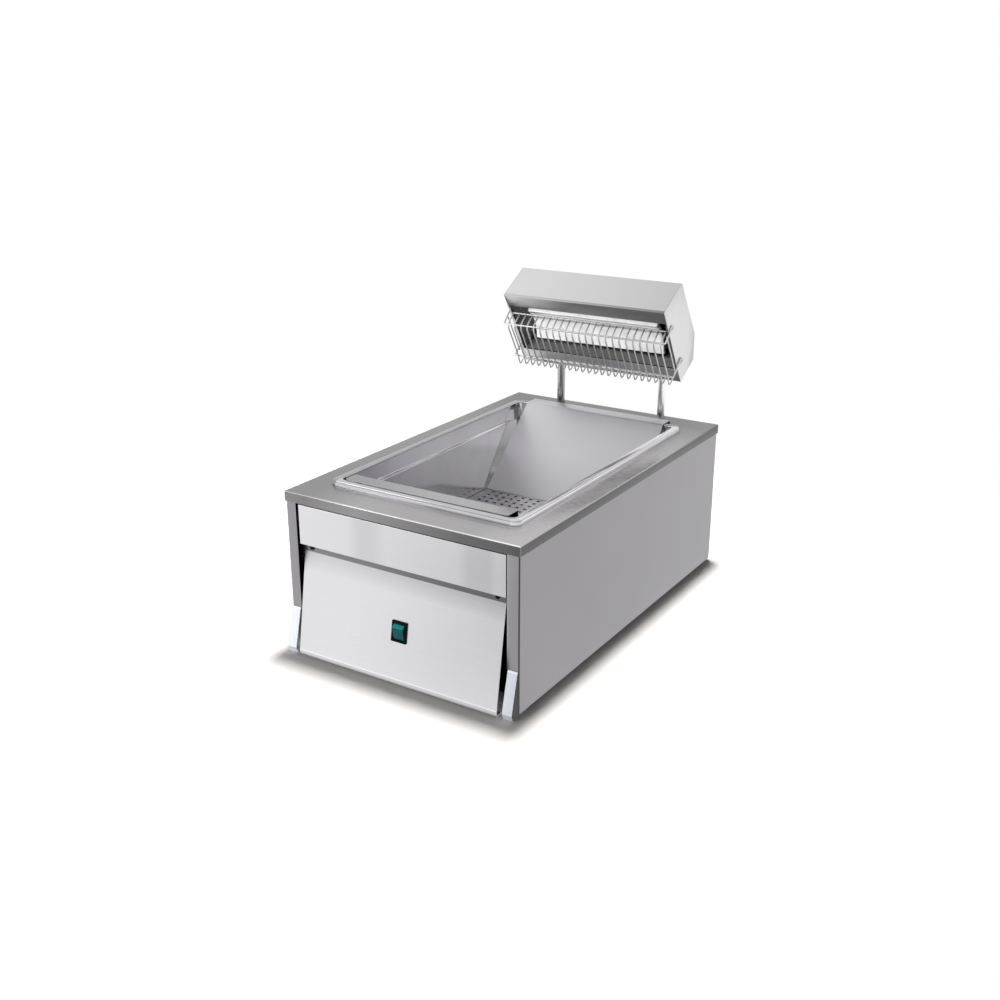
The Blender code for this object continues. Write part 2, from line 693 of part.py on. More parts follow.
def make_reflector(mirror_alloy):
    """The polished tray behind the emitter: a rim that leans in behind the lips, and sloping sides."""
    rim_foot = 136.0
    rim_lean = 0.04

    def rim(down):
        return HOOD_SHEET + GAP + rim_lean * (rim_foot - down)

    def loop(top, bottom, half_x, top_deep, bottom_deep):
        return [hood_at(x, down, deep) for x, down, deep in
                ((-half_x, top, top_deep), (-half_x, bottom, bottom_deep),
                 (half_x, bottom, bottom_deep), (half_x, top, top_deep))]

    loops = (loop(16.0, rim_foot, 148.4, rim(16.0), rim(rim_foot)),
             loop(25.0, 123.0, 145.8, rim(25.0), rim(123.0)),
             loop(38.0, 110.0, 125.0, 33.0, 33.0))
    tray = lofted("reflector", loops, mirror_alloy)
    solidify(tray, 0.8)
    corners = [hood_at(x, EMITTER_MIDDLE + down, 28) for x, down in
               ((-21, -8), (21, -8), (21, 8), (-21, 8))]
    through = hood_at(0, 0, 40) - hood_at(0, 0, 28)
    boolean(tray, as_cutter(prism("neck_opening", corners, through, mirror_alloy)))


def make_emitter(ceramic, spring_steel):
    """The ceramic trough element: a dished bar with a neck through the reflector, and its clip."""
    half_chord = 30.0
    rim_deep = 13.0
    dish = 9.0
    wall = 8.0
    radius = (half_chord ** 2 + dish ** 2) / (2 * dish)
    span = math.asin(half_chord / radius)
    centre = rim_deep + dish - radius
    outline = []
    for reach, order in ((radius, 1), (radius + wall, -1)):
        for step in range(-5, 6):
            angle = order * span * step / 5
            outline.append((EMITTER_MIDDLE + reach * math.sin(angle),
                            centre + reach * math.cos(angle)))
    points = [hood_at(-EMITTER_HALF_LENGTH, down, deep) for down, deep in outline]
    bar = prism("ceramic_emitter", points, (2 * EMITTER_HALF_LENGTH * MM, 0, 0), ceramic)
    bevel(bar, 2.0, 2, 40.0)
    corners = [hood_at(x, EMITTER_MIDDLE + down, rim_deep + dish + wall / 2) for x, down in
               ((-20, -7), (20, -7), (20, 7), (-20, 7))]
    neck_top = hood_at(0, 0, 47) - hood_at(0, 0, rim_deep + dish + wall / 2)
    boolean(bar, as_cutter(prism("emitter_neck", corners, neck_top, ceramic)), "UNION")
    plate = [hood_at(x, EMITTER_MIDDLE + down, 34.2) for x, down in
             ((-32, -15), (32, -15), (32, 15), (-32, 15))]
    clip = prism("emitter_clip", plate, hood_at(0, 0, 1.2) - hood_at(0, 0, 0), spring_steel)
    slot = [hood_at(x, EMITTER_MIDDLE + down, 30) for x, down in
            ((-20.4, -7.4), (20.4, -7.4), (20.4, 7.4), (-20.4, 7.4))]
    boolean(clip, as_cutter(prism("clip_slot", slot, hood_at(0, 0, 10) - hood_at(0, 0, 0),
                                  spring_steel)))


# Wire guard

def end_frame_route(hole, tip, front):
    """Half of a frame wire: out of the hood end's hole, round a hairpin, forward to the front."""
    side = GUARD_SIDE_X
    inside = side - 5.5
    down, deep = hole
    return [hood_at(inside, down, deep), hood_at(side, down, deep),
            hood_at(side, (down + tip[0]) / 2 + 1.0, tip[1] + 2.0), hood_at(side, *tip),
            hood_at(side, *front)]


def mirrored(points):
    """The same points on the hood's other side, in reverse order."""
    return [Vector((-point.x, point.y, point.z)) for point in reversed(points)]


def make_guard(chrome):
    """The guard: bent frame wires, straight long wires and the cross wires looped below them."""
    upper = end_frame_route(GUARD_HOLES[0], (35.8, 12.5), UPPER_FRONT)
    lower = end_frame_route(GUARD_HOLES[1], (110.6, 18.0), LOWER_FRONT)
    guard = wire("wire_guard", rounded_route(upper + mirrored(upper), 3.5), LONG_RADIUS, chrome)
    wires = bpy.data.collections.new("guard_wires")
    cutters.children.link(wires)
    others = [wire("lower_frame_wire", rounded_route(lower + mirrored(lower), 3.5),
                   LONG_RADIUS, chrome)]
    half = CROSS_PITCH * (CROSS_WIRES - 1) / 2 + CROSS_RADIUS - 0.1
    for name, (down, deep) in (("upper_back_wire", UPPER_BACK), ("lower_back_wire", LOWER_BACK)):
        ends = [hood_at(-half, down, deep), hood_at(half, down, deep)]
        others.append(wire(name, ends, LONG_RADIUS, chrome))
    profile = (UPPER_BACK, (43.6, -14.0), (47.2, -21.0), (54.0, -24.6), (114.0, -24.6),
               (127.0, -26.6), (132.2, -25.8), (134.0, -21.5), (133.2, -15.5), LOWER_BACK)
    for number in range(CROSS_WIRES):
        x = CROSS_PITCH * (number - (CROSS_WIRES - 1) / 2)
        route = [hood_at(x, down, deep) for down, deep in profile]
        others.append(wire("cross_wire", route, CROSS_RADIUS, chrome))
    for side in (-1, 1):
        x = side * (GUARD_SIDE_X - 2.2)
        ends = [hood_at(x, 40.0, SIDE_WIRE_DEEP), hood_at(x, 117.6, SIDE_WIRE_DEEP)]
        others.append(wire("side_wire", ends, CROSS_RADIUS, chrome))
    for other in others:
        as_cutter(other)
        cutters.objects.unlink(other)
        wires.objects.link(other)
    joined = guard.modifiers.new("welds", "BOOLEAN")
    joined.operation = "UNION"
    joined.operand_type = "COLLECTION"
    joined.solver = "EXACT"
    joined.collection = wires


# Pan, insert and ramp

def make_pan(pan_steel):
    """The deep container: a turned-down rim, a stacking shoulder and drawn, tapering walls."""
    front = RIM_FRONT_Y
    back = RIM_BACK_Y
    floor = RIM_TOP - PAN_DEPTH
    section = ((0.0, DECK_TOP + GAP, 13.0), (0.0, RIM_TOP - 1.0, 13.0), (1.0, RIM_TOP, 12.5),
               (RIM_FLAT - 1.5, RIM_TOP, 8.5), (RIM_FLAT, RIM_TOP - 1.5, 8.0),
               (RIM_FLAT + 0.8, RIM_TOP - 27.0, 8.5), (RIM_FLAT + 3.4, RIM_TOP - 30.0, 10.0),
               (RIM_FLAT + 9.0, floor + 12.0, 16.0), (RIM_FLAT + 11.2, floor + 4.5, 15.5),
               (RIM_FLAT + 16.0, floor + 0.8, 13.0), (RIM_FLAT + 22.0, floor, 10.0))
    loops = [rounded_rectangle(RIM_HALF - inset, front + inset, back - inset, z, radius)
             for inset, z, radius in section]
    pan = lofted("pan", loops, pan_steel)
    solidify(pan, PAN_SHEET)


def make_insert(insert_steel):
    """The perforated floor: it hangs on the pan's front rim and stands on two feet at the back."""
    floor_front = INSERT_WALL_Y + 2.0
    floor_back = 546.0
    skirt_foot = FLOOR_TOP - 11.5
    shape = block((-FLOOR_HALF, FLOOR_HALF), (floor_front, floor_back), (skirt_foot, FLOOR_TOP))
    shape.normal_update()
    remove_faces(shape, (0, 0, -1))
    remove_faces(shape, (0, -1, 0))
    for y, z, half in ((INSERT_WALL_Y, PLATE_TOP - 0.2, INSERT_HALF),
                       (INSERT_FLANGE_Y, PLATE_TOP - 0.2, INSERT_HALF)):
        front_edge = min((edge for edge in shape.edges if len(edge.link_faces) == 1
                          and abs(edge.verts[0].co.z - edge.verts[1].co.z) < 1e-6
                          and abs(edge.verts[0].co.y - edge.verts[1].co.y) < 1e-6),
                         key=lambda edge: edge.verts[0].co.y - edge.verts[0].co.z)
        drawn = bmesh.ops.extrude_edge_only(shape, edges=[front_edge])
        for item in drawn["geom"]:
            if isinstance(item, bmesh.types.BMVert):
                item.co = at(math.copysign(half, item.co.x), y, z)
    corners = [vert for vert in shape.verts if abs(vert.co.y - at(0, INSERT_FLANGE_Y, 0).y) < 1e-6]
    bmesh.ops.bevel(shape, geom=corners, offset=10 * MM, segments=4, profile=0.5,
                    affect="VERTICES")
    insert = finish("perforated_insert", shape, insert_steel)
    bevel(insert, 1.5, 2, 40.0)
    solidify(insert, 1.0)
    foot_bottom = RIM_TOP - PAN_DEPTH + GAP
    for x in (-70.0, 70.0):
        foot = finish("insert_foot", block((x - 12, x + 12), (floor_back - 1.4, floor_back + 0.4),
                                           (foot_bottom, skirt_foot + 4.0)), insert_steel)
        boolean(insert, as_cutter(foot), "UNION")
    boolean(insert, as_cutter(hole_cutter(insert_steel)))


def hole_cutter(insert_steel):
    """One tool with a rod for each drain hole, in square rows up to and under the ramp's foot."""
    shape = bmesh.new()
    across = 8
    first_row = 377.0
    rows = 5
    for row in range(rows):
        for column in range(-across, across + 1):
            place = at(column * HOLE_PITCH, first_row + row * HOLE_PITCH, FLOOR_TOP)
            bmesh.ops.create_cone(
                shape, cap_ends=True, segments=6, radius1=HOLE_RADIUS * MM,
                radius2=HOLE_RADIUS * MM, depth=6 * MM, matrix=Matrix.Translation(place))
    return finish("drain_holes", shape, insert_steel)


def make_ramp(ramp_steel):
    """The plate the chips slide down: hooked over the rear rim, its foot on the floor."""
    outline = ((RAMP_FOOT_Y, FLOOR_TOP + 1.2), (RAMP_BEND_Y, PLATE_TOP), (RAMP_BACK_Y, PLATE_TOP),
               (RAMP_BACK_Y, DECK_TOP + 2.0))
    folded_strip("ramp_plate", at, outline, RAMP_HALF, 2.5, ramp_steel)


def build():
    clear_scene()
    brushed = material("brushed_steel", (0.48, 0.47, 0.46), 0.32, 1.0)
    bright = material("bright_brushed_steel", (0.66, 0.66, 0.67), 0.36, 1.0)
    hood_steel = material("satin_steel", (0.62, 0.62, 0.63), 0.3, 1.0)
    pan_steel = material("pan_steel", (0.58, 0.57, 0.57), 0.2, 1.0)
    mirror_alloy = material("polished_aluminium", (0.72, 0.72, 0.73), 0.12, 1.0)
    plated = material("plated_wire", (0.7, 0.69, 0.68), 0.18, 1.0)
    screw_steel = material("dark_screw_steel", (0.2, 0.2, 0.2), 0.35, 1.0)
    cap_alloy = material("toe_cap_silver", (0.66, 0.68, 0.76), 0.4, 0.2)
    rubber = material("black_rubber", (0.02, 0.02, 0.02), 0.8)
    black_plastic = material("black_plastic", (0.01, 0.01, 0.012), 0.35)
    green_plastic = material("green_translucent_plastic", (0.01, 0.16, 0.13), 0.2)
    white_plastic = material("terminal_plastic", (0.75, 0.74, 0.7), 0.5)
    sleeve = material("lead_sleeve", (0.6, 0.58, 0.52), 0.7)
    ceramic = material("white_glazed_ceramic", (0.9, 0.9, 0.9), 0.15)
    make_deck(brushed)
    make_side_panels(brushed)
    make_rear_panel(brushed, screw_steel)
    make_cable_gland(black_plastic)
    make_base_tray(brushed)
    make_rear_feet(rubber)
    make_toe_caps(cap_alloy)
    make_cross_rails(brushed)
    make_fascia(bright)
    make_lower_panel(bright, screw_steel)
    make_switch_housing(black_plastic)
    make_rocker(green_plastic)
    make_terminal_block(white_plastic)
    make_leads(sleeve)
    make_tubes(plated, screw_steel)
    make_hood(hood_steel)
    make_hood_ends(hood_steel)
    make_hood_clamps(mirror_alloy, screw_steel)
    make_reflector(mirror_alloy)
    make_emitter(ceramic, screw_steel)
    make_guard(plated)
    make_pan(pan_steel)
    make_insert(pan_steel)
    make_ramp(bright)
    for piece in parts.objects:
        smooth(piece)


build()
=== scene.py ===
import math
import bmesh
import bpy
from mathutils import Matrix, Vector


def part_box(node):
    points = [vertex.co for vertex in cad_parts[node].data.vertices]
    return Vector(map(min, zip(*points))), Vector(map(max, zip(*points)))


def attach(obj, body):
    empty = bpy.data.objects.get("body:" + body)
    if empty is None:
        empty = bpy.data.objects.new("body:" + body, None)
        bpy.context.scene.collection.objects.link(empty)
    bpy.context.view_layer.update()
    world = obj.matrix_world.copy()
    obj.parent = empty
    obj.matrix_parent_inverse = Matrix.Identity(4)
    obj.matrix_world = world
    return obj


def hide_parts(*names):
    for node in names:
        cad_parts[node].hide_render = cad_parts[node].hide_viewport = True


# Looks of the chip warmer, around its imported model. Lengths are in millimetres, as at() and hoodAt() take
# them: x to the right, y back from the deck's front edge, z up from the counter.

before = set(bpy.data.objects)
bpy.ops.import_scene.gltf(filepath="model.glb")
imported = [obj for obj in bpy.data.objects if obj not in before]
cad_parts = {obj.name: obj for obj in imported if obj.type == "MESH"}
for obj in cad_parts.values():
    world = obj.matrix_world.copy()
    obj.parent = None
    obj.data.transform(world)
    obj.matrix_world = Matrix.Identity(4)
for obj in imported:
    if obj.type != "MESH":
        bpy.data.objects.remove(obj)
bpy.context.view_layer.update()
mm = 0.001
deckLow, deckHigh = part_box("deck_top")
deckTop = deckHigh.z / mm
scene = bpy.context.scene
sides = (("left", -1), ("right", 1))
cutReach = 10.0    # how far a cutting tool stands out of the sheet that it cuts


# Places

hoodPlace = {
    "edgeY": 517.0,    # top edge of the hood's mouth
    "edgeZ": 458.0,
    "tilt": 31.0,      # degrees that the open face leans back from upright
}

switchPlace = {
    "x": 5.0,
    "z": 79.8,
    "footY": -16.0,    # the sloping panel's lower and upper bend lines
    "footZ": 9.0,
    "headY": 9.2,
    "headZ": 162.5,
}


def at(x, y, z):
    return Vector((x * mm, deckLow.y + y * mm, z * mm))


def hoodAt(x, down, deep):  # down the hood's open face, and deep into it
    tilt = math.radians(hoodPlace["tilt"])
    y = hoodPlace["edgeY"] + down * math.sin(tilt) + deep * math.cos(tilt)
    z = hoodPlace["edgeZ"] - down * math.cos(tilt) + deep * math.sin(tilt)
    return at(x, y, z)


def hoodPoints(x, outline):
    return [hoodAt(x, down, deep) for down, deep in outline]


def panelAt(x, up, out):  # up the sloping front panel from the switch's middle, and out of its face
    foot = Vector((switchPlace["footY"], switchPlace["footZ"]))
    rise = (Vector((switchPlace["headY"], switchPlace["headZ"])) - foot).normalized()
    along = (switchPlace["z"] - foot.y) / rise.y + up
    return at(switchPlace["x"] + x, foot.x + rise.x * along - rise.y * out,
              foot.y + rise.y * along + rise.x * out)


# Materials. Each look is a node tree on Object coordinates.

looks = {}


def startLook(name, colour, roughness, metallic=0.0):
    made = bpy.data.materials.new(name)
    made.use_nodes = True
    shader = made.node_tree.nodes["Principled BSDF"]
    feed(made.node_tree, shader,
         {"Base Color": (*colour, 1.0), "Roughness": roughness, "Metallic": metallic})
    looks[name] = made
    return made.node_tree, shader


def feed(tree, node, feeds):  # each socket gets a fixed value or another node's output
    for name, value in feeds.items():
        if isinstance(value, bpy.types.NodeSocket):
            tree.links.new(value, node.inputs[name])
        else:
            node.inputs[name].default_value = value


def addNode(tree, kind, feeds, **settings):
    node = tree.nodes.new("ShaderNode" + kind)
    for name, setting in settings.items():
        setattr(node, name, setting)
    feed(tree, node, feeds)
    return node


def objectPlace(tree):
    return tree.nodes.new("ShaderNodeTexCoord").outputs["Object"]


def noiseOn(tree, scale, detail=2.0, stretch=(1.0, 1.0, 1.0)):
    mapping = addNode(tree, "Mapping", {"Vector": objectPlace(tree), "Scale": stretch})
    return addNode(tree, "TexNoise", {"Vector": mapping.outputs["Vector"], "Scale": scale,
                                      "Detail": detail}).outputs["Fac"]


def remap(tree, value, low, high, fromLow=0.3, fromHigh=0.7):
    return addNode(tree, "MapRange", {"Value": value, "From Min": fromLow, "From Max": fromHigh,
                                      "To Min": low, "To Max": high}).outputs["Result"]


def arithmetic(tree, kind, first, second):
    return addNode(tree, "Math", {0: first, 1: second}, operation=kind).outputs["Value"]


def shaded(colour, share):
    return (*[channel * share for channel in colour], 1.0)


def varied(tree, colour, factor, low, high):  # between a darker and a lighter share of the colour
    return addNode(tree, "Mix", {"Factor": factor, "A": shaded(colour, low), "B": shaded(colour, high)},
                   data_type="RGBA").outputs["Result"]


def bumps(tree, height, strength, distance=0.0002):
    return addNode(tree, "Bump", {"Height": height, "Strength": strength,
                                  "Distance": distance}).outputs["Normal"]


def scaled(tree, colour, share):
    return addNode(tree, "VectorMath", {0: colour, "Scale": share}, operation="SCALE").outputs["Vector"]


def along(tree, axis):  # the distance from the origin along a direction
    return addNode(tree, "VectorMath", {0: objectPlace(tree), 1: axis},
                   operation="DOT_PRODUCT").outputs["Value"]


def axisBand(tree, axis, low, high, softBelow=0.4, softAbove=0.4):  # 1 in a stretch along a direction
    distance = along(tree, axis)
    rising = remap(tree, distance, 0.0, 1.0, (low - softBelow) * mm, low * mm)
    falling = remap(tree, distance, 1.0, 0.0, high * mm, (high + softAbove) * mm)
    return arithmetic(tree, "MULTIPLY", rising, falling)


def paintLightAndShade(tree, tone, lightAndShadeBands):  # each band is a direction, where it starts and ends, and its share of tone: painted light and shade
    for axis, low, high, share in lightAndShadeBands:
        tone = scaled(tree, tone, remap(tree, axisBand(tree, axis, low, high), 1.0, share, 0.0, 1.0))
    return tone


def crossing(tree, left, right, half):  # a value that changes from the left side to the right
    return remap(tree, along(tree, across), left, right, -half * mm, half * mm)


across = (1.0, 0.0, 0.0)
backward = (0.0, 1.0, 0.0)
upward = (0.0, 0.0, 1.0)
intoHood = (0.0, math.cos(math.radians(hoodPlace["tilt"])), math.sin(math.radians(hoodPlace["tilt"])))
mouthDistance = hoodAt(0, 0, 0).dot(Vector(intoHood)) / mm
intoPan = (0.0, 0.272, 0.962)    # square to the edge of the soft shade on the pan's walls

grainStretch = {
    "x": (0.015, 1.0, 1.0),
    "y": (1.0, 0.015, 1.0),
    "z": (1.0, 1.0, 0.015),
}


def brushedLook(name, colour, roughness, grain, depth=0.03, bump=0.03, lightAndShadeBands=(), paintedLightDrift=None,
                polished=None):
    tree, shader = startLook(name, colour, roughness, 1.0)
    fine = noiseOn(tree, 3200.0, 3.0, grainStretch[grain])
    broad = noiseOn(tree, 260.0, 3.0, grainStretch[grain])
    cloud = noiseOn(tree, 7.0, 2.0)
    streak = arithmetic(tree, "ADD", arithmetic(tree, "MULTIPLY", fine, 0.65),
                        arithmetic(tree, "MULTIPLY", broad, 0.35))
    tone = varied(tree, colour, remap(tree, streak, 0.0, 1.0), 1.0 - depth, 1.0 + depth)
    # Each band is a direction, where it starts and ends, its shares of the tone at the deck's left and right
    # edges, and how softly it starts and ends. The bands paint light and shade: highlights and darker or
    # lighter stretches.
    for axis, low, high, leftShare, rightShare, softBelow, softAbove in lightAndShadeBands:
        other = crossing(tree, leftShare, rightShare, deck["halfWidth"])
        inside = axisBand(tree, axis, low, high, softBelow, softAbove)
        share = arithmetic(tree, "ADD", 1.0, arithmetic(tree, "MULTIPLY", inside,
                                                        arithmetic(tree, "SUBTRACT", other, 1.0)))
        tone = scaled(tree, tone, share)
    # the drift paints a shade that grows from the left side to the right
    if paintedLightDrift:
        tone = scaled(tree, tone, crossing(tree, *paintedLightDrift))
    rough = arithmetic(tree, "ADD", remap(tree, streak, roughness * 0.9, roughness * 1.1),
                       remap(tree, cloud, -0.02, 0.02))
    if polished:
        axis, low, high, level = polished
        inside = axisBand(tree, axis, low, high)
        rough = arithmetic(tree, "ADD", rough, arithmetic(tree, "MULTIPLY", inside, level - roughness))
    feed(tree, shader, {"Base Color": tone, "Roughness": rough, "Normal": bumps(tree, streak, bump)})


def drawnLook(name, colour, roughness, waves=0.25, lightAndShadeBands=(), shade=None):
    tree, shader = startLook(name, colour, roughness, 1.0)
    polish = noiseOn(tree, 900.0, 4.0)
    wave = noiseOn(tree, 14.0, 2.0)
    cloud = noiseOn(tree, 30.0, 4.0)
    tone = paintLightAndShade(tree, varied(tree, colour, remap(tree, cloud, 0.0, 1.0), 0.95, 1.04), lightAndShadeBands)
    if shade:
        axis, edge, soft, ceiling, share = shade
        inside = arithmetic(tree, "MULTIPLY", axisBand(tree, axis, -400.0, edge, 1.0, soft),
                            axisBand(tree, upward, -1.0, ceiling, 0.4, 1.5))
        tone = scaled(tree, tone, remap(tree, inside, 1.0, share, 0.0, 1.0))
    rough = arithmetic(tree, "ADD", remap(tree, polish, roughness * 0.8, roughness * 1.2),
                       remap(tree, cloud, -0.02, 0.04))
    feed(tree, shader, {"Base Color": tone, "Roughness": rough, "Normal": bumps(tree, wave, waves, 0.002)})


def mouldedLook(name, colour, roughness, grainScale=1800.0, bump=0.15, coat=0.0,
                specular=0.5, lightAndShadeBands=()):
    tree, shader = startLook(name, colour, roughness)
    grain = noiseOn(tree, grainScale, 3.0)
    cloud = noiseOn(tree, 60.0, 3.0)
    tone = varied(tree, colour, remap(tree, cloud, 0.0, 1.0), 0.88, 1.12)
    feed(tree, shader, {
        "Base Color": paintLightAndShade(tree, tone, lightAndShadeBands),
        "Roughness": remap(tree, grain, roughness * 0.8, min(1.0, roughness * 1.25)),
        "Specular IOR Level": specular,
        "Normal": bumps(tree, grain, bump, 0.0001),
    })
    if coat:
        feed(tree, shader, {"Coat Weight": coat, "Coat Roughness": 0.08})


def silverPaintLook(name, colour, roughness, lightAndShadeBands):
    tree, shader = startLook(name, colour, roughness, 0.25)
    flake = noiseOn(tree, 5200.0, 1.0)
    tone = varied(tree, colour, remap(tree, flake, 0.0, 1.0), 0.93, 1.05)
    feed(tree, shader, {"Base Color": paintLightAndShade(tree, tone, lightAndShadeBands),
                        "Roughness": remap(tree, flake, roughness * 0.85, roughness * 1.15),
                        "Normal": bumps(tree, flake, 0.05, 0.0001)})


def wovenSleeveLook(name, colour):
    tree, shader = startLook(name, colour, 0.85)
    weave = addNode(tree, "TexWave", {"Vector": objectPlace(tree), "Scale": 700.0,
                                      "Distortion": 3.0}).outputs["Fac"]
    feed(tree, shader, {"Base Color": varied(tree, colour, weave, 0.75, 1.1),
                        "Normal": bumps(tree, weave, 0.5)})


# One brushed steel for the deck, sides, front, hood and hood's ends, set lighter for the front and the hood's
# ends and darker for the sides, as painted light and shade.
steelTones = {
    "deck": (0.43, 0.42, 0.425),
    "side": (0.345, 0.335, 0.35),
    "front": (0.77, 0.765, 0.785),
    "hood": (0.70, 0.70, 0.705),
    "hoodEnd": (0.76, 0.755, 0.765),
    "ramp": (0.565, 0.56, 0.585),
    "pan": (0.8, 0.79, 0.815),
    "insert": (0.68, 0.67, 0.69),
}


def makeLooks():
    # Deck: painted shade on its lips, darker toward the right; a painted highlight along the front bend;
    # painted shade on its left strip and toward its rear, and painted light on its right strip.
    brushedLook("deckSteel", steelTones["deck"], 0.28, "x", 0.03, 0.007,
                lightAndShadeBands=((upward, deckTop - 15.5, deckTop - 1.5, 1.02, 0.23, 0.4, 0.3),
                       (backward, deckLow.y / mm + 0.2, deckLow.y / mm + 1.5, 1.9, 1.9, 0.1, 0.3),
                       (across, -220.0, -160.0, 0.62, 0.62, 1.0, 90.0),
                       (across, 178.0, 220.0, 1.3, 1.3, 60.0, 1.0),
                       (backward, 290.0, 330.0, 0.55, 0.37, 190.0, 1.0)))
    # Sides: a painted dark line down the outer bend at the right, and a painted highlight near the right
    # post's inner edge.
    brushedLook("sideSteel", steelTones["side"], 0.34, "z",
                lightAndShadeBands=((across, 196.6, 198.15, 0.25, 0.25, 0.2, 0.15),
                       (across, 178.0, 180.2, 1.25, 1.25, 0.1, 0.4)))
    # Fascia: two soft darker bands as painted reflections, and a painted shade that grows to the right.
    brushedLook("fasciaSteel", steelTones["front"], 0.3, "x",
                lightAndShadeBands=((across, -66.0, -48.0, 0.88, 0.88, 22.0, 30.0),
                       (across, 120.0, 150.0, 0.88, 0.88, 20.0, 12.0)), paintedLightDrift=(1.01, 0.85, 180.0))
    # Lower panel: painted shade in its top flange under the fascia and just below it, painted shade at its
    # foot, a painted highlight along its lower bend, and a painted shade that grows to the right.
    brushedLook("frontSteel", steelTones["front"], 0.3, "x",
                lightAndShadeBands=((upward, 160.6, 171.4, 0.33, 0.2, 0.3, 0.3),
                       (upward, 158.0, 160.6, 0.86, 0.72, 26.0, 0.3),
                       (upward, 0.0, 4.6, 0.6, 0.6, 0.3, 0.6), (upward, 4.6, 8.4, 0.85, 0.85, 0.3, 0.2),
                       (upward, 8.7, 10.4, 1.2, 1.2, 0.2, 0.4)), paintedLightDrift=(1.03, 0.97, 180.0))
    # Hood: a painted reflection on its lip, darker toward the right; painted light on its lowest part,
    # stronger toward the right; and a painted shade that grows to the right.
    brushedLook("hoodSteel", steelTones["hood"], 0.32, "x", 0.02, 0.02,
                lightAndShadeBands=((intoHood, mouthDistance - 1.0, mouthDistance + 4.6, 0.92, 0.4, 0.3, 0.3),
                       (upward, 326.0, 354.4, 1.0, 2.0, 0.3, 0.3)),
                paintedLightDrift=(1.06, 0.84, 150.0), polished=(intoHood, mouthDistance - 1, mouthDistance + 4.6, 0.36))
    brushedLook("hoodEndSteel", steelTones["hoodEnd"], 0.3, "z", 0.015, 0.02)
    # Ramp: painted shade at its foot, and a painted shade that grows to the right.
    brushedLook("rampSteel", steelTones["ramp"], 0.36, "y", 0.02, 0.02,
                lightAndShadeBands=((upward, 120.0, 134.0, 0.8, 0.9, 1.0, 60.0),), paintedLightDrift=(1.12, 0.9, 140.0))
    # Steel inside the cabinet, painted near black as painted shade.
    brushedLook("shadowDarkSteel", (0.07, 0.07, 0.07), 0.4, "y")
    # Pan: painted shade on the rim's top and a painted dark line on its roll, painted shade on the rear wall,
    # the front rim and the left rim, painted light on the right rim, and painted shade low on the walls.
    drawnLook("panSteel", steelTones["pan"], 0.13, 0.06,
              ((upward, 257.3, 259.0, 0.83), (upward, 255.2, 256.5, 0.62),
               (backward, 250.0, 262.0, 0.4), (backward, -272.0, -257.5, 0.83),
               (across, 149.8, 164.0, 1.2), (across, -164.0, -150.6, 0.62)),
              (intoPan, 227.0, 14.0, 227.0, 0.78))
    # Insert: painted shade on its flange and its left side, and painted light on its floor.
    drawnLook("insertSteel", steelTones["insert"], 0.3, 0.06,
              ((upward, 250.0, 262.0, 0.68), (upward, 129.0, 131.5, 1.22)),
              (across, -110.0, 120.0, 400.0, 0.74))
    drawnLook("mirrorAlloy", (0.62, 0.62, 0.62), 0.1, 0.12)
    # Reflector: its alloy painted dark as the shade inside the hood, with more painted shade at its mouth and
    # in its lower part.
    drawnLook("reflectorAlloy", (0.2, 0.2, 0.197), 0.25, 0.12,
              ((intoHood, mouthDistance - 1.0, mouthDistance + 3.4, 0.1), (upward, 300.0, 385.0, 0.75)))
    drawnLook("chrome", (0.72, 0.71, 0.70), 0.2, 0.0)
    # Tubes: the left tube carries painted shade.
    drawnLook("tubeChrome", (0.98, 0.975, 0.97), 0.2, 0.0, ((across, -120.0, -80.0, 0.5),))
    drawnLook("screwSteel", (0.02, 0.02, 0.02), 0.3, 0.1)
    # Toe caps: painted shade on the chin, a painted highlight on the top, painted light on the left cap, and
    # painted shade on the right cap's outer side.
    silverPaintLook("toeCapSilver", (0.52, 0.53, 0.585), 0.36,
                    ((upward, -1.0, 8.4, 0.6), (upward, 66.0, 70.0, 1.4), (across, -200.0, -178.0, 1.2),
                     (across, toeCap["outer"] - 0.2, toeCap["outer"] + 0.5, 0.1)))
    mouldedLook("blackRubber", (0.02, 0.02, 0.02), 0.8, 900.0, 0.3)
    mouldedLook("blackPlastic", (0.003, 0.0025, 0.0035), 0.45, specular=0.06)
    # Rocker: painted shade on its face, leaving its top lighter as if lit from above.
    mouldedLook("greenPlastic", (0.011, 0.2, 0.2), 0.35, 900.0, 0.03,
                specular=0.1, lightAndShadeBands=((upward, 60.0, 86.6, 0.24),))
    mouldedLook("terminalPlastic", (0.75, 0.74, 0.7), 0.5)
    mouldedLook("glazedCeramic", (0.95, 0.95, 0.955), 0.16, 300.0, 0.06, 0.5)
    wovenSleeveLook("leadSleeve", (0.6, 0.58, 0.52))
    print("looks:", len(looks), "materials")


# Making pieces

def finishShading(piece, sharp):
    piece.data.shade_smooth()
    piece.data.set_sharp_from_angle(angle=math.radians(sharp))


def makePiece(name, shape, look, node=None, body="cabinet", sharp=30.0):
    mesh = bpy.data.meshes.new(name)
    shape.to_mesh(mesh)
    shape.free()
    made = bpy.data.objects.new(name, mesh)
    scene.collection.objects.link(made)
    mesh.materials.append(looks[look])
    finishShading(made, sharp)
    if node:
        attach(made, body)
        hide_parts(node)
    return made


def boxShape(xRange, yRange, zRange):
    low, high = [at(*corner) for corner in zip(xRange, yRange, zRange)]
    shape = bmesh.new()
    bmesh.ops.create_cube(shape, size=1.0)
    bmesh.ops.scale(shape, vec=high - low, verts=shape.verts)
    bmesh.ops.translate(shape, vec=(low + high) / 2, verts=shape.verts)
    shape.normal_update()
    return shape


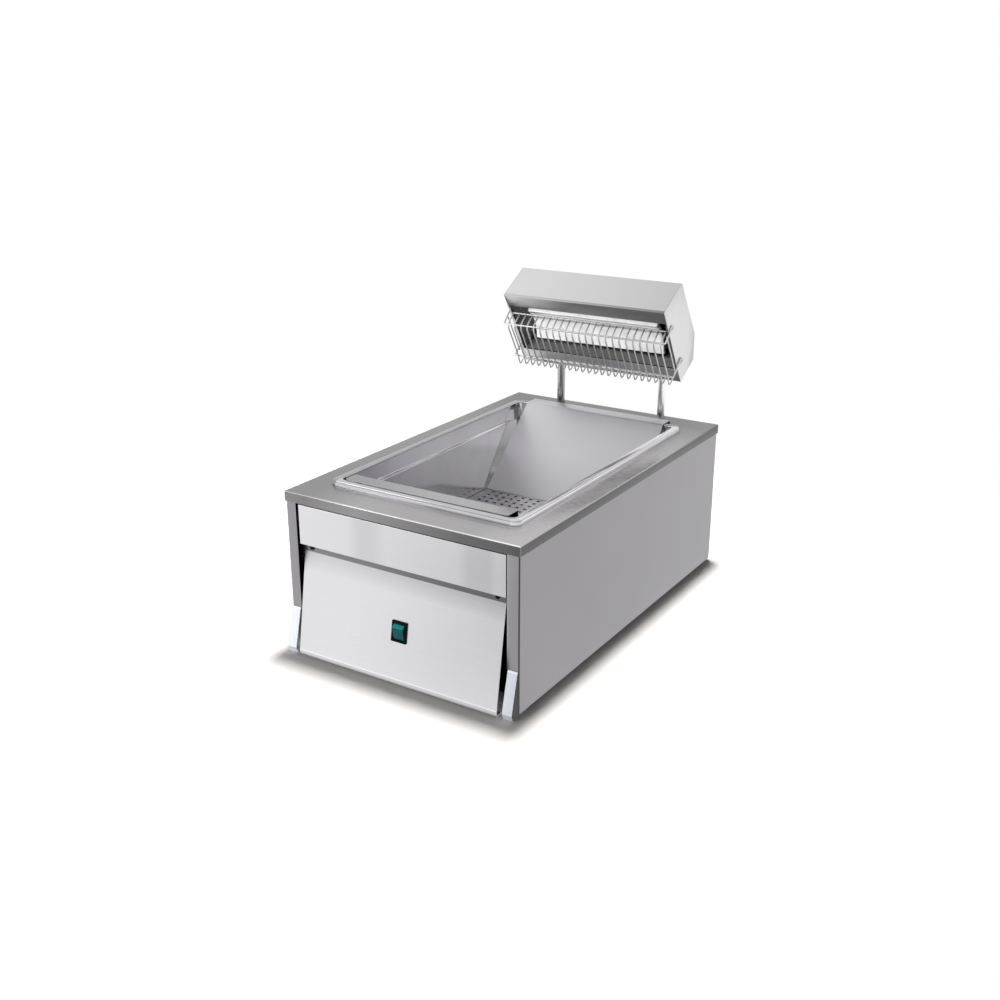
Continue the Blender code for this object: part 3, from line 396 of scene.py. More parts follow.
def bendEdges(shape, radius, segments=6, angle=20.0):
    bent = [edge for edge in shape.edges
            if len(edge.link_faces) == 2 and edge.calc_face_angle() > math.radians(angle)]
    bmesh.ops.bevel(shape, geom=bent, offset=radius * mm, segments=segments, profile=0.5,
                    affect="EDGES", material=-1, offset_type="OFFSET", clamp_overlap=True)


def giveSheet(piece, thickness, softness=0.15):
    wall = piece.modifiers.new("sheet", "SOLIDIFY")
    wall.thickness = thickness * mm
    wall.offset = -1.0
    wall.use_even_offset = True
    softenEdges(piece, softness)


def foldedBox(name, node, look, ranges, openSide, values):  # folded from sheet, with one side open
    shape = boxShape(*ranges)
    facing = [face for face in shape.faces if face.normal.dot(Vector(openSide)) > 0.9]
    bmesh.ops.delete(shape, geom=facing, context="FACES_ONLY")
    bendEdges(shape, values["bend"])
    piece = makePiece(name, shape, look, node)
    giveSheet(piece, values["sheet"])
    return piece


def softenEdges(piece, width):
    soft = piece.modifiers.new("edges", "BEVEL")
    soft.width = width * mm
    soft.segments = 2
    soft.limit_method = "ANGLE"
    soft.angle_limit = math.radians(50.0)
    soft.harden_normals = False


def cut(piece, toolShape):
    tool = makePiece("tool", toolShape, "shadowDarkSteel")
    change = piece.modifiers.new("cut", "BOOLEAN")
    change.operation = "DIFFERENCE"
    change.solver = "EXACT"
    change.object = tool
    settle(piece)
    bpy.data.objects.remove(tool, do_unlink=True)


def finalMesh(piece):  # as its modifiers, or a curve's thickness, shape it
    graph = bpy.context.evaluated_depsgraph_get()
    return bpy.data.meshes.new_from_object(piece.evaluated_get(graph))


def settle(piece, sharp=30.0):  # its modifiers become its mesh
    mesh = finalMesh(piece)
    piece.modifiers.clear()
    piece.data = mesh
    finishShading(piece, sharp)


def newVerts(drawn):
    return [item for item in drawn["geom"] if isinstance(item, bmesh.types.BMVert)]


def stripShape(place, outline, halfWidth, radius, segments=6):  # an outline drawn out from left to right
    shape = bmesh.new()
    corners = [shape.verts.new(place(-halfWidth, a, b)) for a, b in outline]
    edges = [shape.edges.new(pair) for pair in zip(corners, corners[1:])]
    drawn = bmesh.ops.extrude_edge_only(shape, edges=edges)
    bmesh.ops.translate(shape, verts=newVerts(drawn), vec=(2 * halfWidth * mm, 0, 0))
    shape.normal_update()
    bendEdges(shape, radius, segments, 12.0)
    return shape


def drawOut(shape, travel):  # the faces so far become a closed block
    drawn = bmesh.ops.extrude_face_region(shape, geom=shape.faces[:])
    bmesh.ops.translate(shape, verts=newVerts(drawn), vec=travel)
    bmesh.ops.recalc_face_normals(shape, faces=shape.faces)
    return shape


def prismShape(points, travel):
    shape = bmesh.new()
    shape.faces.new([shape.verts.new(point) for point in points])
    return drawOut(shape, travel)


def barShape(points, width):  # an outline drawn out to the side
    return prismShape(points, Vector((width * mm, 0, 0)))


def slabShape(place, halfWidth, halfHeight, low, high):
    corners = [place(x * halfWidth, up * halfHeight, low) for x, up in ((-1, -1), (1, -1), (1, 1), (-1, 1))]
    return prismShape(corners, place(0, 0, high) - place(0, 0, low))


def rodShape(start, end, radius, sides=48):
    axis = end - start
    turn = axis.to_track_quat("Z", "Y").to_matrix().to_4x4()
    shape = bmesh.new()
    bmesh.ops.create_cone(shape, cap_ends=True, segments=sides, radius1=radius * mm,
                          radius2=radius * mm, depth=axis.length,
                          matrix=Matrix.Translation((start + end) / 2) @ turn)
    return shape


def turnedShape(profile, place, direction, steps):
    shape = bmesh.new()
    points = [shape.verts.new((radius * mm, 0, height * mm)) for radius, height in profile]
    edges = [shape.edges.new(pair) for pair in zip(points, points[1:])]
    bmesh.ops.spin(shape, geom=points + edges, cent=(0, 0, 0), axis=(0, 0, 1), dvec=(0, 0, 0),
                   angle=math.tau, steps=steps, use_merge=True, use_duplicate=False)
    bmesh.ops.remove_doubles(shape, verts=shape.verts, dist=0.000002)
    bmesh.ops.recalc_face_normals(shape, faces=shape.faces)
    turn = Vector(direction).to_track_quat("Z", "Y").to_matrix().to_4x4()
    bmesh.ops.transform(shape, matrix=Matrix.Translation(place) @ turn, verts=shape.verts)
    return shape


def wirePiece(name, routes, radius):
    route = bpy.data.curves.new(name, "CURVE")
    route.dimensions = "3D"
    route.bevel_depth = radius * mm
    route.bevel_resolution = 3
    route.use_fill_caps = True
    for points in routes:
        line = route.splines.new("POLY")
        line.points.add(len(points) - 1)
        for place, point in zip(line.points, points):
            place.co = (*point, 1.0)
        line.use_smooth = True
    guide = bpy.data.objects.new(name + "Guide", route)
    scene.collection.objects.link(guide)
    mesh = finalMesh(guide)
    bpy.data.objects.remove(guide, do_unlink=True)
    shape = bmesh.new()
    shape.from_mesh(mesh)
    bmesh.ops.remove_doubles(shape, verts=shape.verts, dist=0.000005)
    bmesh.ops.recalc_face_normals(shape, faces=shape.faces)
    makePiece(name, shape, "chrome", "wire_guard", sharp=50.0)


def roundedRoute(points, radius, steps=6):
    route = [points[0]]
    for before, corner, after in zip(points, points[1:], points[2:]):
        back = before - corner
        ahead = after - corner
        reach = min(radius * mm, back.length / 2, ahead.length / 2)
        start = corner + back.normalized() * reach
        end = corner + ahead.normalized() * reach
        for step in range(steps + 1):
            part = step / steps
            route.append(start.lerp(corner, part).lerp(corner.lerp(end, part), part))
    route.append(points[-1])
    return route


# Camera, light and floor

cameraView = {
    "place": (0.935, -1.536, 0.833),
    "turn": (69.89, 0.0, 32.27),
    "lens": 43.2,
}

lamps = {  # place, what it points at, size, power, and whether polished metal shows it
    "keyLamp": ((-0.12, 0.48, 4.0), (0.0, 0.0, 0.2), (0.4, 0.6), 126.0, False),  # its shadow falls in front
    "fillLamp": ((-0.9, -2.4, 0.06), (0.0, 0.0, 0.2), (0.9, 0.1), 70.0, False),
    "shineLamp": ((-1.6, -2.0, 1.1), (0.0, 0.0, 0.2), (0.55, 0.55), 4.0, True),  # shows in bends and edges
    "bounceLamp": ((0.0, 0.237, 0.184), (0.0, 0.0, 0.19), (0.284, 0.122), 0.038, True),  # under the ramp
}

studio = {
    "worldLevel": 0.1,
    "glowToward": (-0.6, -0.1, 0.79),  # where polished metal sees a pale glow in the sky
    "glowFrom": 0.62,
    "floorColour": 0.86,
    "floorBrightness": 1.36,
    "floorTint": (1.0, 0.97, 0.94),
    "whiteFrom": 0.75,                 # metres from the middle at which the floor becomes plain white
    "whiteBeyond": 1.15,
    "darkPlace": (0.35, -0.95),        # a soft darker place that polished metal sees in the floor
    "darkCore": 0.1875,
    "darkRadius": 0.75,
    "darkLevel": 0.68,
}


def makeCamera():
    lens = bpy.data.cameras.new("camera")
    lens.lens = cameraView["lens"]
    lens.sensor_width = 36.0
    lens.clip_start = 0.05
    lens.clip_end = 200.0
    camera = bpy.data.objects.new("camera", lens)
    camera.location = cameraView["place"]
    camera.rotation_euler = [math.radians(angle) for angle in cameraView["turn"]]
    scene.collection.objects.link(camera)
    scene.camera = camera


def makeLamps():
    for name, (place, aim, size, power, shines) in lamps.items():
        lamp = bpy.data.lights.new(name, "AREA")
        lamp.shape = "RECTANGLE"
        lamp.size, lamp.size_y = size
        lamp.energy = power
        holder = bpy.data.objects.new(name, lamp)
        holder.location = place
        holder.rotation_euler = (Vector(aim) - Vector(place)).to_track_quat("-Z", "Y").to_euler()
        holder.visible_glossy = shines
        scene.collection.objects.link(holder)


def firstGlossy(tree, path):  # reflections that the camera sees, not those that light a matt surface
    seen = arithmetic(tree, "MAXIMUM", path.outputs["Is Glossy Ray"], path.outputs["Is Transmission Ray"])
    clear = arithmetic(tree, "LESS_THAN", path.outputs["Diffuse Depth"], 0.5)
    return arithmetic(tree, "MULTIPLY", seen, clear)


def makeWorld():
    world = bpy.data.worlds.new("studio")
    scene.world = world
    world.use_nodes = True
    tree = world.node_tree
    path = tree.nodes.new("ShaderNodeLightPath")
    direction = tree.nodes.new("ShaderNodeTexCoord").outputs["Generated"]
    toward = addNode(tree, "VectorMath", {0: direction, 1: studio["glowToward"]}, operation="DOT_PRODUCT")
    sky = remap(tree, toward.outputs["Value"], studio["glowFrom"], 1.0, -1.0, 1.0)
    reflected = arithmetic(tree, "MULTIPLY", firstGlossy(tree, path), sky)
    lit = arithmetic(tree, "MAXIMUM", path.outputs["Is Camera Ray"], reflected)
    feed(tree, tree.nodes["Background"], {"Color": (1.0, 1.0, 1.0, 1.0),
                                          "Strength": arithmetic(tree, "MAXIMUM", lit, studio["worldLevel"])})


def floorDistance(tree, place):
    return addNode(tree, "VectorMath", {0: objectPlace(tree), 1: (*place, 0.0)},
                   operation="DISTANCE").outputs["Value"]


def mixShaders(tree, factor, first, second):
    return addNode(tree, "MixShader", {"Fac": factor, 1: first, 2: second}).outputs["Shader"]


def makeFloorPaint():
    paint = bpy.data.materials.new("floorPaint")
    paint.use_nodes = True
    tree = paint.node_tree
    tree.nodes.remove(tree.nodes["Principled BSDF"])
    path = tree.nodes.new("ShaderNodeLightPath")
    plain = addNode(tree, "BsdfDiffuse", {"Color": shaded((1.0, 1.0, 1.0), studio["floorColour"])})
    bright = addNode(tree, "BsdfDiffuse", {"Color": shaded(studio["floorTint"], studio["floorBrightness"])})
    far = remap(tree, floorDistance(tree, (0.0, 0.0)), 0.0, 1.0, studio["whiteFrom"],
                studio["whiteBeyond"])
    white = addNode(tree, "Emission", {})
    shown = mixShaders(tree, far, bright.outputs["BSDF"], white.outputs["Emission"])
    tone = remap(tree, floorDistance(tree, studio["darkPlace"]), studio["darkLevel"], 1.0,
                 studio["darkCore"], studio["darkRadius"])
    mirrored = addNode(tree, "Emission", {"Strength": tone})
    seen = mixShaders(tree, firstGlossy(tree, path), plain.outputs["BSDF"], mirrored.outputs["Emission"])
    whole = mixShaders(tree, path.outputs["Is Camera Ray"], seen, shown)
    feed(tree, tree.nodes["Material Output"], {"Surface": whole})
    return paint


def makeFloor():
    shape = bmesh.new()
    bmesh.ops.create_grid(shape, x_segments=1, y_segments=1, size=30.0)
    mesh = bpy.data.meshes.new("floor")
    shape.to_mesh(mesh)
    shape.free()
    floor = bpy.data.objects.new("floor", mesh)
    scene.collection.objects.link(floor)
    mesh.materials.append(makeFloorPaint())


def makeStudio():
    scene.view_settings.view_transform = "Standard"
    makeCamera()
    makeLamps()
    makeWorld()
    makeFloor()
    print("studio: camera, lamps, world and floor")


# Cabinet

deck = {
    "halfWidth": 200.0,
    "depth": 650.0,
    "lip": 15.0,
    "sheet": 1.2,
    "bend": 1.6,
    "openingInset": 9.0,   # from the pan's rim to the edge of the cut-out
    "openingCorner": 12.0,
}

panRim = {
    "half": 162.5,
    "front": 55.0,
    "back": 585.0,
}

tube = {
    "x": 99.5,
    "y": 633.0,
    "radius": 7.0,
    "bore": 5.8,
    "foot": 196.0,
    "head": 398.0,
    "chamfer": 0.3,
    "holeGap": 0.3,
}


def rimFace(shape, inset, z, radius, segments=10):  # the outline of the pan's rim, moved in and rounded
    half, front, back = panRim["half"] - inset, panRim["front"] + inset, panRim["back"] - inset
    corners = [shape.verts.new(at(x, y, z)) for x, y in
               ((-half, front), (half, front), (half, back), (-half, back))]
    shape.faces.new(corners)
    bmesh.ops.bevel(shape, geom=corners, offset=radius * mm, segments=segments, profile=0.5,
                    affect="VERTICES", material=-1)


def cutTubeHoles(piece, low, high):
    for side in (-1, 1):
        x = side * tube["x"]
        cut(piece, rodShape(at(x, tube["y"], low), at(x, tube["y"], high), tube["radius"] + tube["holeGap"]))


def makeDeck():
    ranges = (-deck["halfWidth"], deck["halfWidth"]), (0, deck["depth"]), (deckTop - deck["lip"], deckTop)
    top = foldedBox("deckTop", "deck_top", "deckSteel", ranges, (0, 0, -1), deck)
    opening = bmesh.new()
    rimFace(opening, deck["openingInset"], deckTop - cutReach, deck["openingCorner"])
    cut(top, drawOut(opening, (0, 0, 2 * cutReach * mm)))
    cutTubeHoles(top, deckTop - cutReach, deckTop + cutReach)


sidePanel = {
    "face": 198.5,
    "leftReturnEdge": 181.0,
    "rightReturnEdge": 178.9,
    "front": 1.5,
    "back": 648.5,
    "bottom": 3.0,
    "top": 248.5,
    "bend": 2.5,
    "sheet": 1.2,
    "screwX": 189.5,
    "screwLow": 45.0,
    "screwHigh": 205.0,
}


def makeSidePanels():
    for word, side in sides:
        faces = sorted((side * sidePanel[word + "ReturnEdge"], side * sidePanel["face"]))
        ranges = faces, (sidePanel["front"], sidePanel["back"]), (sidePanel["bottom"], sidePanel["top"])
        foldedBox(word + "SidePanel", word + "_side_panel", "sideSteel", ranges, (-side, 0, 0), sidePanel)


fascia = {
    "half": 177.0,
    "face": 2.0,
    "back": 30.0,
    "bottom": 171.5,
    "top": 233.0,
    "bend": 1.2,
    "sheet": 1.2,
}


def makeFascia():
    ranges = ((-fascia["half"], fascia["half"]), (fascia["face"], fascia["back"]),
              (fascia["bottom"], fascia["top"]))
    foldedBox("frontFascia", "front_fascia", "fasciaSteel", ranges, (0, 1, 0), fascia)


lowerPanel = {
    "half": 173.5,
    "outline": ((-4.0, 2.2), (-16.0, 2.2), (-16.0, 9.0), (9.2, 162.5), (9.2, 170.9)),
    "bend": 1.2,
    "sheet": 1.2,
    "switchHole": (11.0, 14.0),   # half width and half height
}


def makeLowerPanel():
    shape = stripShape(at, lowerPanel["outline"], lowerPanel["half"], lowerPanel["bend"])
    panel = makePiece("lowerFrontPanel", shape, "frontSteel", "lower_front_panel")
    giveSheet(panel, lowerPanel["sheet"])
    cut(panel, slabShape(panelAt, *lowerPanel["switchHole"], -cutReach, cutReach))


toeCap = {
    "inner": 181.2,
    "outer": 197.4,
    "outline": ((1.2, 68.6), (-0.8, 66.6), (-15.4, 8.6), (-11.6, 0.0), (28.0, 0.0), (28.0, 2.7),
                (1.2, 2.7)),
    "edge": 0.6,
}


def makeToeCaps():
    for word, side in sides:
        near, far = sorted((side * toeCap["inner"], side * toeCap["outer"]))
        points = [at(near, y, z) for y, z in toeCap["outline"]]
        shape = barShape(points, far - near)
        bendEdges(shape, toeCap["edge"], 4)
        makePiece(word + "ToeCap", shape, "toeCapSilver", word + "_toe_cap")


# Screws

screw = {
    "height": 2.2,
    "edgeShare": 0.25,          # of that height, at the head's edge
    "shank": 1.8,
    "recessWidth": 0.9,
    "recessDepth": 1.4,
    "recessReach": 0.55,        # of the head's radius
    "panelSize": (3.6, 7.5),    # head's radius and length under the head
    "rearSize": (3.8, 7.0),
    "hoodSize": (3.6, 8.5),
    "panelPlace": (160.0, 8.9, 166.9),
    "hoodOffset": 12.0,         # to each side of a tube
    "hoodHeight": 377.0,
    "seat": 0.3,                # between a wall and the head
}


def screwProfile(headRadius, length):
    edge = screw["edgeShare"]
    dome = [(headRadius * math.sin(angle), screw["height"] * (edge + (1 - edge) * math.cos(angle)))
            for angle in [step / 8 * math.pi / 2 for step in range(9)]]
    return dome + [(headRadius, 0.0), (screw["shank"], 0.0), (screw["shank"], -length), (0.0, -length)]


def makeScrew(name, node, place, direction, size):
    piece = makePiece(name, turnedShape(screwProfile(*size), place, direction, 24), "screwSteel", node)
    out = Vector(direction)
    side = Vector((1, 0, 0))
    other = out.cross(side)
    depth = screw["recessDepth"] * mm
    base = Vector(place) + out * (screw["height"] * mm - depth)
    for lengthwise, sideways in ((side, other), (other, side)):
        reach = lengthwise * size[0] * screw["recessReach"] * mm
        half = sideways * screw["recessWidth"] * mm / 2
        corners = [base - reach - half, base + reach - half, base + reach + half, base - reach + half]
        cut(piece, prismShape(corners, out * 3 * depth))


def makeScrews():
    x, y, z = screw["panelPlace"]
    for word, side in sides:
        makeScrew(word + "PanelScrew", word + "_panel_screw", at(side * x, y, z), (0, -1, 0),
                  screw["panelSize"])
    corners = [(side * sidePanel["screwX"], z) for z in (sidePanel["screwLow"], sidePanel["screwHigh"])
               for side in (-1, 1)]
    for number, (x, z) in enumerate(corners, 1):
        makeScrew(f"rearPanelScrew{number}", f"rear_panel_screw_{number}",
                  at(x, sidePanel["back"] + screw["seat"], z), (0, 1, 0), screw["rearSize"])
    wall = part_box("lamp_hood")[1].y + screw["seat"] * mm
    places = [side * tube["x"] + way * screw["hoodOffset"] for side in (-1, 1) for way in (-1, 1)]
    for number, x in enumerate(places, 1):
        makeScrew(f"hoodScrew{number}", f"hood_screw_{number}",
                  Vector((x * mm, wall, screw["hoodHeight"] * mm)), (0, 1, 0), screw["hoodSize"])


# Switch

switch = {
    "bezel": (13.0, 15.5, 0.3, 2.4),    # half width, half height, and where it starts and ends outwards
    "bezelBend": 0.8,
    "body": (10.6, 13.6, -22.0, 0.2),
    "pocket": (9.5, 12.5, -17.0, cutReach),
    "rockerHalf": 9.2,
    "rockerRadius": 12.2,
    "rockerAngles": (28, 10, -10, -28, 208, 190, 170, 161),    # of its outline's points round the pivot
    "rockerTip": (6.5, 6.2),
    "rockerBend": 0.5,
    "pivotDepth": 3.0,
}


def makeSwitch():
    bezel = slabShape(panelAt, *switch["bezel"])
    bendEdges(bezel, switch["bezelBend"], 3)
    for name, shape in (("switchBezel", bezel), ("switchBody", slabShape(panelAt, *switch["body"]))):
        housing = makePiece(name, shape, "blackPlastic", "switch_housing")
        cut(housing, slabShape(panelAt, *switch["pocket"]))
    radius, depth = switch["rockerRadius"], switch["pivotDepth"]
    outline = [(radius * math.cos(math.radians(angle)), radius * math.sin(math.radians(angle)) - depth)
               for angle in switch["rockerAngles"]]
    outline.append(switch["rockerTip"])
    points = [panelAt(-switch["rockerHalf"], up, out) for up, out in outline]
    rocker = barShape(points, 2 * switch["rockerHalf"])
    bendEdges(rocker, switch["rockerBend"], 4)
    makePiece("switchRocker", rocker, "greenPlastic", "switch_rocker", "rocker")


# Lamp stand and hood

hood = {
    "half": 150.0,
    "sheet": 1.0,
    "gap": 0.3,
    "bend": 1.3,
    "lipEdge": (27.3, 4.1),
    "mouthBottom": 121.6,
    "outline": ((0.0, 0.0), (0.0, 74.0), (112.0, 79.0), (150.0, 56.2), (150.0, 0.0)),
    "tubeHoleFoot": 335.0,  # heights between which the tubes go through its lower wall
    "tubeHoleHead": 368.0,
    "hookHoles": ((43.0, 8.0), (117.5, 11.0)),
    "hookHoleRadius": 2.1,
    "endLipX": 146.0,
    "endLipWidth": 3.2,
    "endLip": ((28.2, 0.1), (121.3, 0.1), (121.3, 1.0), (28.2, 1.0)),
}


def makeTubes():
    for word, side in sides:
        x = side * tube["x"]
        profile = ((tube["bore"], tube["head"]), (tube["radius"] - tube["chamfer"], tube["head"]),
                   (tube["radius"], tube["head"] - tube["chamfer"]), (tube["radius"], tube["foot"]),
                   (tube["bore"], tube["foot"]), (tube["bore"], tube["head"]))
        makePiece(word + "LampTube", turnedShape(profile, at(x, tube["y"], 0), (0, 0, 1), 48),
                  "tubeChrome", word + "_lamp_tube")


def makeHood():
    outline = (hood["lipEdge"], *hood["outline"], (hood["mouthBottom"], 0.0))
    shape = stripShape(hoodAt, outline, hood["half"] - hood["sheet"] - hood["gap"], hood["bend"])
    wrap = makePiece("lampHood", shape, "hoodSteel", "lamp_hood")
    giveSheet(wrap, hood["sheet"], 0.12)
    cutTubeHoles(wrap, hood["tubeHoleFoot"], hood["tubeHoleHead"])
    for word, side in sides:
        inner = side * (hood["half"] - hood["sheet"])
        shape = barShape(hoodPoints(inner, hood["outline"]), side * hood["sheet"])
        plate = makePiece(word + "HoodEnd", shape, "hoodEndSteel", word + "_hood_end")
        softenEdges(plate, 0.15)
        for down, deep in hood["hookHoles"]:
            start, end = [hoodAt(side * hood["half"] + out, down, deep) for out in (-cutReach, cutReach)]
            cut(plate, rodShape(start, end, hood["hookHoleRadius"], 24))
        lip = barShape(hoodPoints(side * hood["endLipX"], hood["endLip"]), side * hood["endLipWidth"])
        makePiece(word + "HoodEndLip", lip, "hoodSteel", word + "_hood_end")


reflector = {
    "sheet": 0.8,
    "bend": 1.0,
    "rim": (16.0, 136.0, 148.4),    # top, bottom and half width
    "lip": (25.0, 123.0, 145.8),
    "floor": (38.0, 110.0, 125.0),
    "floorDeep": 33.0,
    "rimLean": 0.04,                # how much deeper the rim and the lip stand for each millimetre up
}


def trayDeep(word, down):
    if word == "floor":
        return reflector["floorDeep"]
    return hood["sheet"] + hood["gap"] + reflector["rimLean"] * (reflector["rim"][1] - down)


def trayRing(shape, word):
    top, bottom, half = reflector[word]
    points = [shape.verts.new(hoodAt(x, down, trayDeep(word, down)))
              for x, down in ((-half, top), (-half, bottom), (half, bottom), (half, top))]
    return [shape.edges.new((points[i], points[(i + 1) % 4])) for i in range(4)], points


def makeReflector():
    shape = bmesh.new()
    rings = [trayRing(shape, word) for word in ("rim", "lip", "floor")]
    for (outer, _), (inner, _) in zip(rings, rings[1:]):
        bmesh.ops.bridge_loops(shape, edges=outer + inner)
    shape.faces.new(rings[-1][1])
    bmesh.ops.recalc_face_normals(shape, faces=shape.faces)
    shape.normal_update()
    out = hoodAt(0, 0, -1) - hoodAt(0, 0, 0)
    if shape.faces[-1].normal.dot(out) < 0:
        bmesh.ops.reverse_faces(shape, faces=shape.faces)
    bendEdges(shape, reflector["bend"], 3)
    tray = makePiece("reflector", shape, "reflectorAlloy", "reflector")
    giveSheet(tray, reflector["sheet"], 0.1)


emitter = {
    "middle": 74.0,
    "halfLength": 122.5,
    "halfChord": 30.0,
    "rimDeep": 13.0,
    "dish": 9.0,
    "wall": 8.0,
    "steps": 16,
    "edge": 2.2,
    "neckHalfWidth": 20.0,
    "neckHalfHeight": 7.0,
    "neckEnd": 47.0,
}


def makeEmitter():
    chord, dish = emitter["halfChord"], emitter["dish"]
    radius = (chord ** 2 + dish ** 2) / (2 * dish)
    span = math.asin(chord / radius)
    centre = emitter["rimDeep"] + dish - radius
    outline = []
    for reach, order in ((radius, 1), (radius + emitter["wall"], -1)):
        for step in range(-emitter["steps"], emitter["steps"] + 1):
            angle = order * span * step / emitter["steps"]
            outline.append((emitter["middle"] + reach * math.sin(angle),
                            centre + reach * math.cos(angle)))
    half = emitter["halfLength"]
    shape = barShape(hoodPoints(-half, outline), 2 * half)
    bendEdges(shape, emitter["edge"], 5, 40.0)
    makePiece("ceramicEmitter", shape, "glazedCeramic", "ceramic_emitter")

    def neckAt(x, down, deep):
        return hoodAt(x, emitter["middle"] + down, deep)

    neck = slabShape(neckAt, emitter["neckHalfWidth"], emitter["neckHalfHeight"],
                     emitter["rimDeep"] + dish + emitter["wall"] / 2, emitter["neckEnd"])
    makePiece("emitterNeck", neck, "glazedCeramic", "ceramic_emitter")


# Wire guard, in the hood's own directions

guard = {
    "crossWires": 24,
    "pitch": 12.5,
    "crossRadius": 1.25,
    "longRadius": 1.5,
    "sideX": 151.8,
    "upperFront": (45.2, -22.2),
    "lowerFront": (118.2, -22.8),
    "upperTip": (35.8, 12.5),
    "lowerTip": (110.6, 18.0),
    "hookReach": 5.5,       # how far a frame wire turns in through its hole in the hood's end
    "hookBow": (1.0, 2.0),  # its middle lies this far below halfway, and this much deeper than its tip
    "hookRound": 3.5,
    "backShort": 0.1,       # from a back wire's end to the outside of the last cross wire
    "sideWire": ((40.0, -9.0), (117.6, -9.0)),
    "sideWireInset": 2.2,
    "crossRound": 4.0,
    "profile": ((41.0, 2.0), (43.6, -14.0), (46.2, -21.5), (53.0, -24.6), (114.0, -24.6),
                (127.0, -26.6), (133.0, -26.4), (134.2, -21.0), (133.2, -15.5), (130.0, -9.5)),
}


def framePoints(hole, tip, front):
    side, bow = guard["sideX"], guard["hookBow"]
    down, deep = hole
    return [hoodAt(side - guard["hookReach"], down, deep), hoodAt(side, down, deep),
            hoodAt(side, (down + tip[0]) / 2 + bow[0], tip[1] + bow[1]), hoodAt(side, *tip),
            hoodAt(side, *front)]


def mirrored(points):
    return [Vector((-point.x, point.y, point.z)) for point in reversed(points)]


def makeGuard():
    upper = framePoints(hood["hookHoles"][0], guard["upperTip"], guard["upperFront"])
    lower = framePoints(hood["hookHoles"][1], guard["lowerTip"], guard["lowerFront"])
    routes = [roundedRoute(half + mirrored(half), guard["hookRound"]) for half in (upper, lower)]
    reach = guard["pitch"] * (guard["crossWires"] - 1) / 2 + guard["crossRadius"] - guard["backShort"]
    for place in (guard["profile"][0], guard["profile"][-1]):  # the back wires join the cross wires' ends
        routes.append([hoodAt(-reach, *place), hoodAt(reach, *place)])
    wirePiece("guardFrame", routes, guard["longRadius"])
    routes = []
    for number in range(guard["crossWires"]):
        x = guard["pitch"] * (number - (guard["crossWires"] - 1) / 2)
        routes.append(roundedRoute(hoodPoints(x, guard["profile"]), guard["crossRound"]))
    for side in (-1, 1):
        routes.append(hoodPoints(side * (guard["sideX"] - guard["sideWireInset"]), guard["sideWire"]))
    wirePiece("guardCrossWires", routes, guard["crossRadius"])


# Pan, insert and ramp

pan = {
    "rimTop": 258.0,
    "rimFoot": 250.3,
    "flat": 12.5,
    "depth": 150.0,
    "sheet": 0.8,
    "flare": 1.6,
    "outerRadius": 1.4,
    "innerRadius": 1.6,
    "crown": 0.2,
    "rimCorners": (13.0, 12.6, 12.2, 8.3),   # corner radii of the rim's outline, from its foot inwards
    "flatTop": ((0.4, 0.05, 11.3), (0.55, 0.0, 10.5), (0.7, 0.03, 9.6)),   # share of the flat, drop, corner
    "shoulder": ((0.6, 25.0, 8.4), (0.9, 26.6, 8.5), (1.8, 28.0, 9.0), (3.0, 29.2, 9.6), (3.5, 31.0, 10.0),
                 (6.2, 84.0, 13.0)),         # inset past the flat, drop from the rim, corner
    "foot": ((9.0, 13.0, 16.0), (9.7, 8.5, 16.0), (11.4, 4.6, 15.2), (14.2, 1.8, 13.8), (17.6, 0.4, 12.2),
             (22.0, 0.0, 10.0)),             # inset past the flat, height over the floor, corner
    "cornerSegments": 12,
}


def arc(insetCentre, zCentre, radius, startAngle, endAngle, steps=5):
    points = []
    for step in range(steps + 1):
        angle = math.radians(startAngle + (endAngle - startAngle) * step / steps)
        points.append((insetCentre + radius * math.cos(angle), zCentre + radius * math.sin(angle)))
    return points


def panSection():  # inset from the rim's outline, height and corner radius, from the rim's foot inwards
    top, flat, edge = pan["rimTop"], pan["flat"], pan["rimTop"] - pan["crown"]
    outer, inner = pan["outerRadius"], pan["innerRadius"]
    foot, side, outerBend, innerBend = pan["rimCorners"]
    section = [(0.0, pan["rimFoot"], foot), (pan["flare"] * 0.5, (pan["rimFoot"] + edge - outer) / 2, side)]
    section += [(inset, z, outerBend) for inset, z in arc(pan["flare"] + outer, edge - outer, outer, 163, 90)]
    section += [(flat * share, top - drop, corner) for share, drop, corner in pan["flatTop"]]
    section += [(inset, z, innerBend) for inset, z in arc(flat - inner, edge - inner, inner, 90, 0)]
    section += [(flat + past, top - drop, corner) for past, drop, corner in pan["shoulder"]]
    return section + [(flat + past, top - pan["depth"] + over, corner) for past, over, corner in pan["foot"]]


def makePan():
    shape = bmesh.new()
    rings = []
    for inset, z, radius in panSection():
        known = set(shape.edges)
        rimFace(shape, inset, z, radius, pan["cornerSegments"])
        rings.append([edge for edge in shape.edges if edge not in known])
    floorFace = shape.faces[:][-1]
    bmesh.ops.delete(shape, geom=[face for face in shape.faces if face is not floorFace],
                     context="FACES_ONLY")
    for outer, inner in zip(rings, rings[1:]):
        bmesh.ops.bridge_loops(shape, edges=outer + inner)
    bmesh.ops.recalc_face_normals(shape, faces=shape.faces)
    shape.normal_update()
    lowest = min(shape.faces, key=lambda face: face.calc_center_median().z)
    if lowest.normal.z < 0:
        bmesh.ops.reverse_faces(shape, faces=shape.faces)
    made = makePiece("pan", shape, "panSteel", "pan", "pan", 40.0)
    giveSheet(made, pan["sheet"], 0.1)


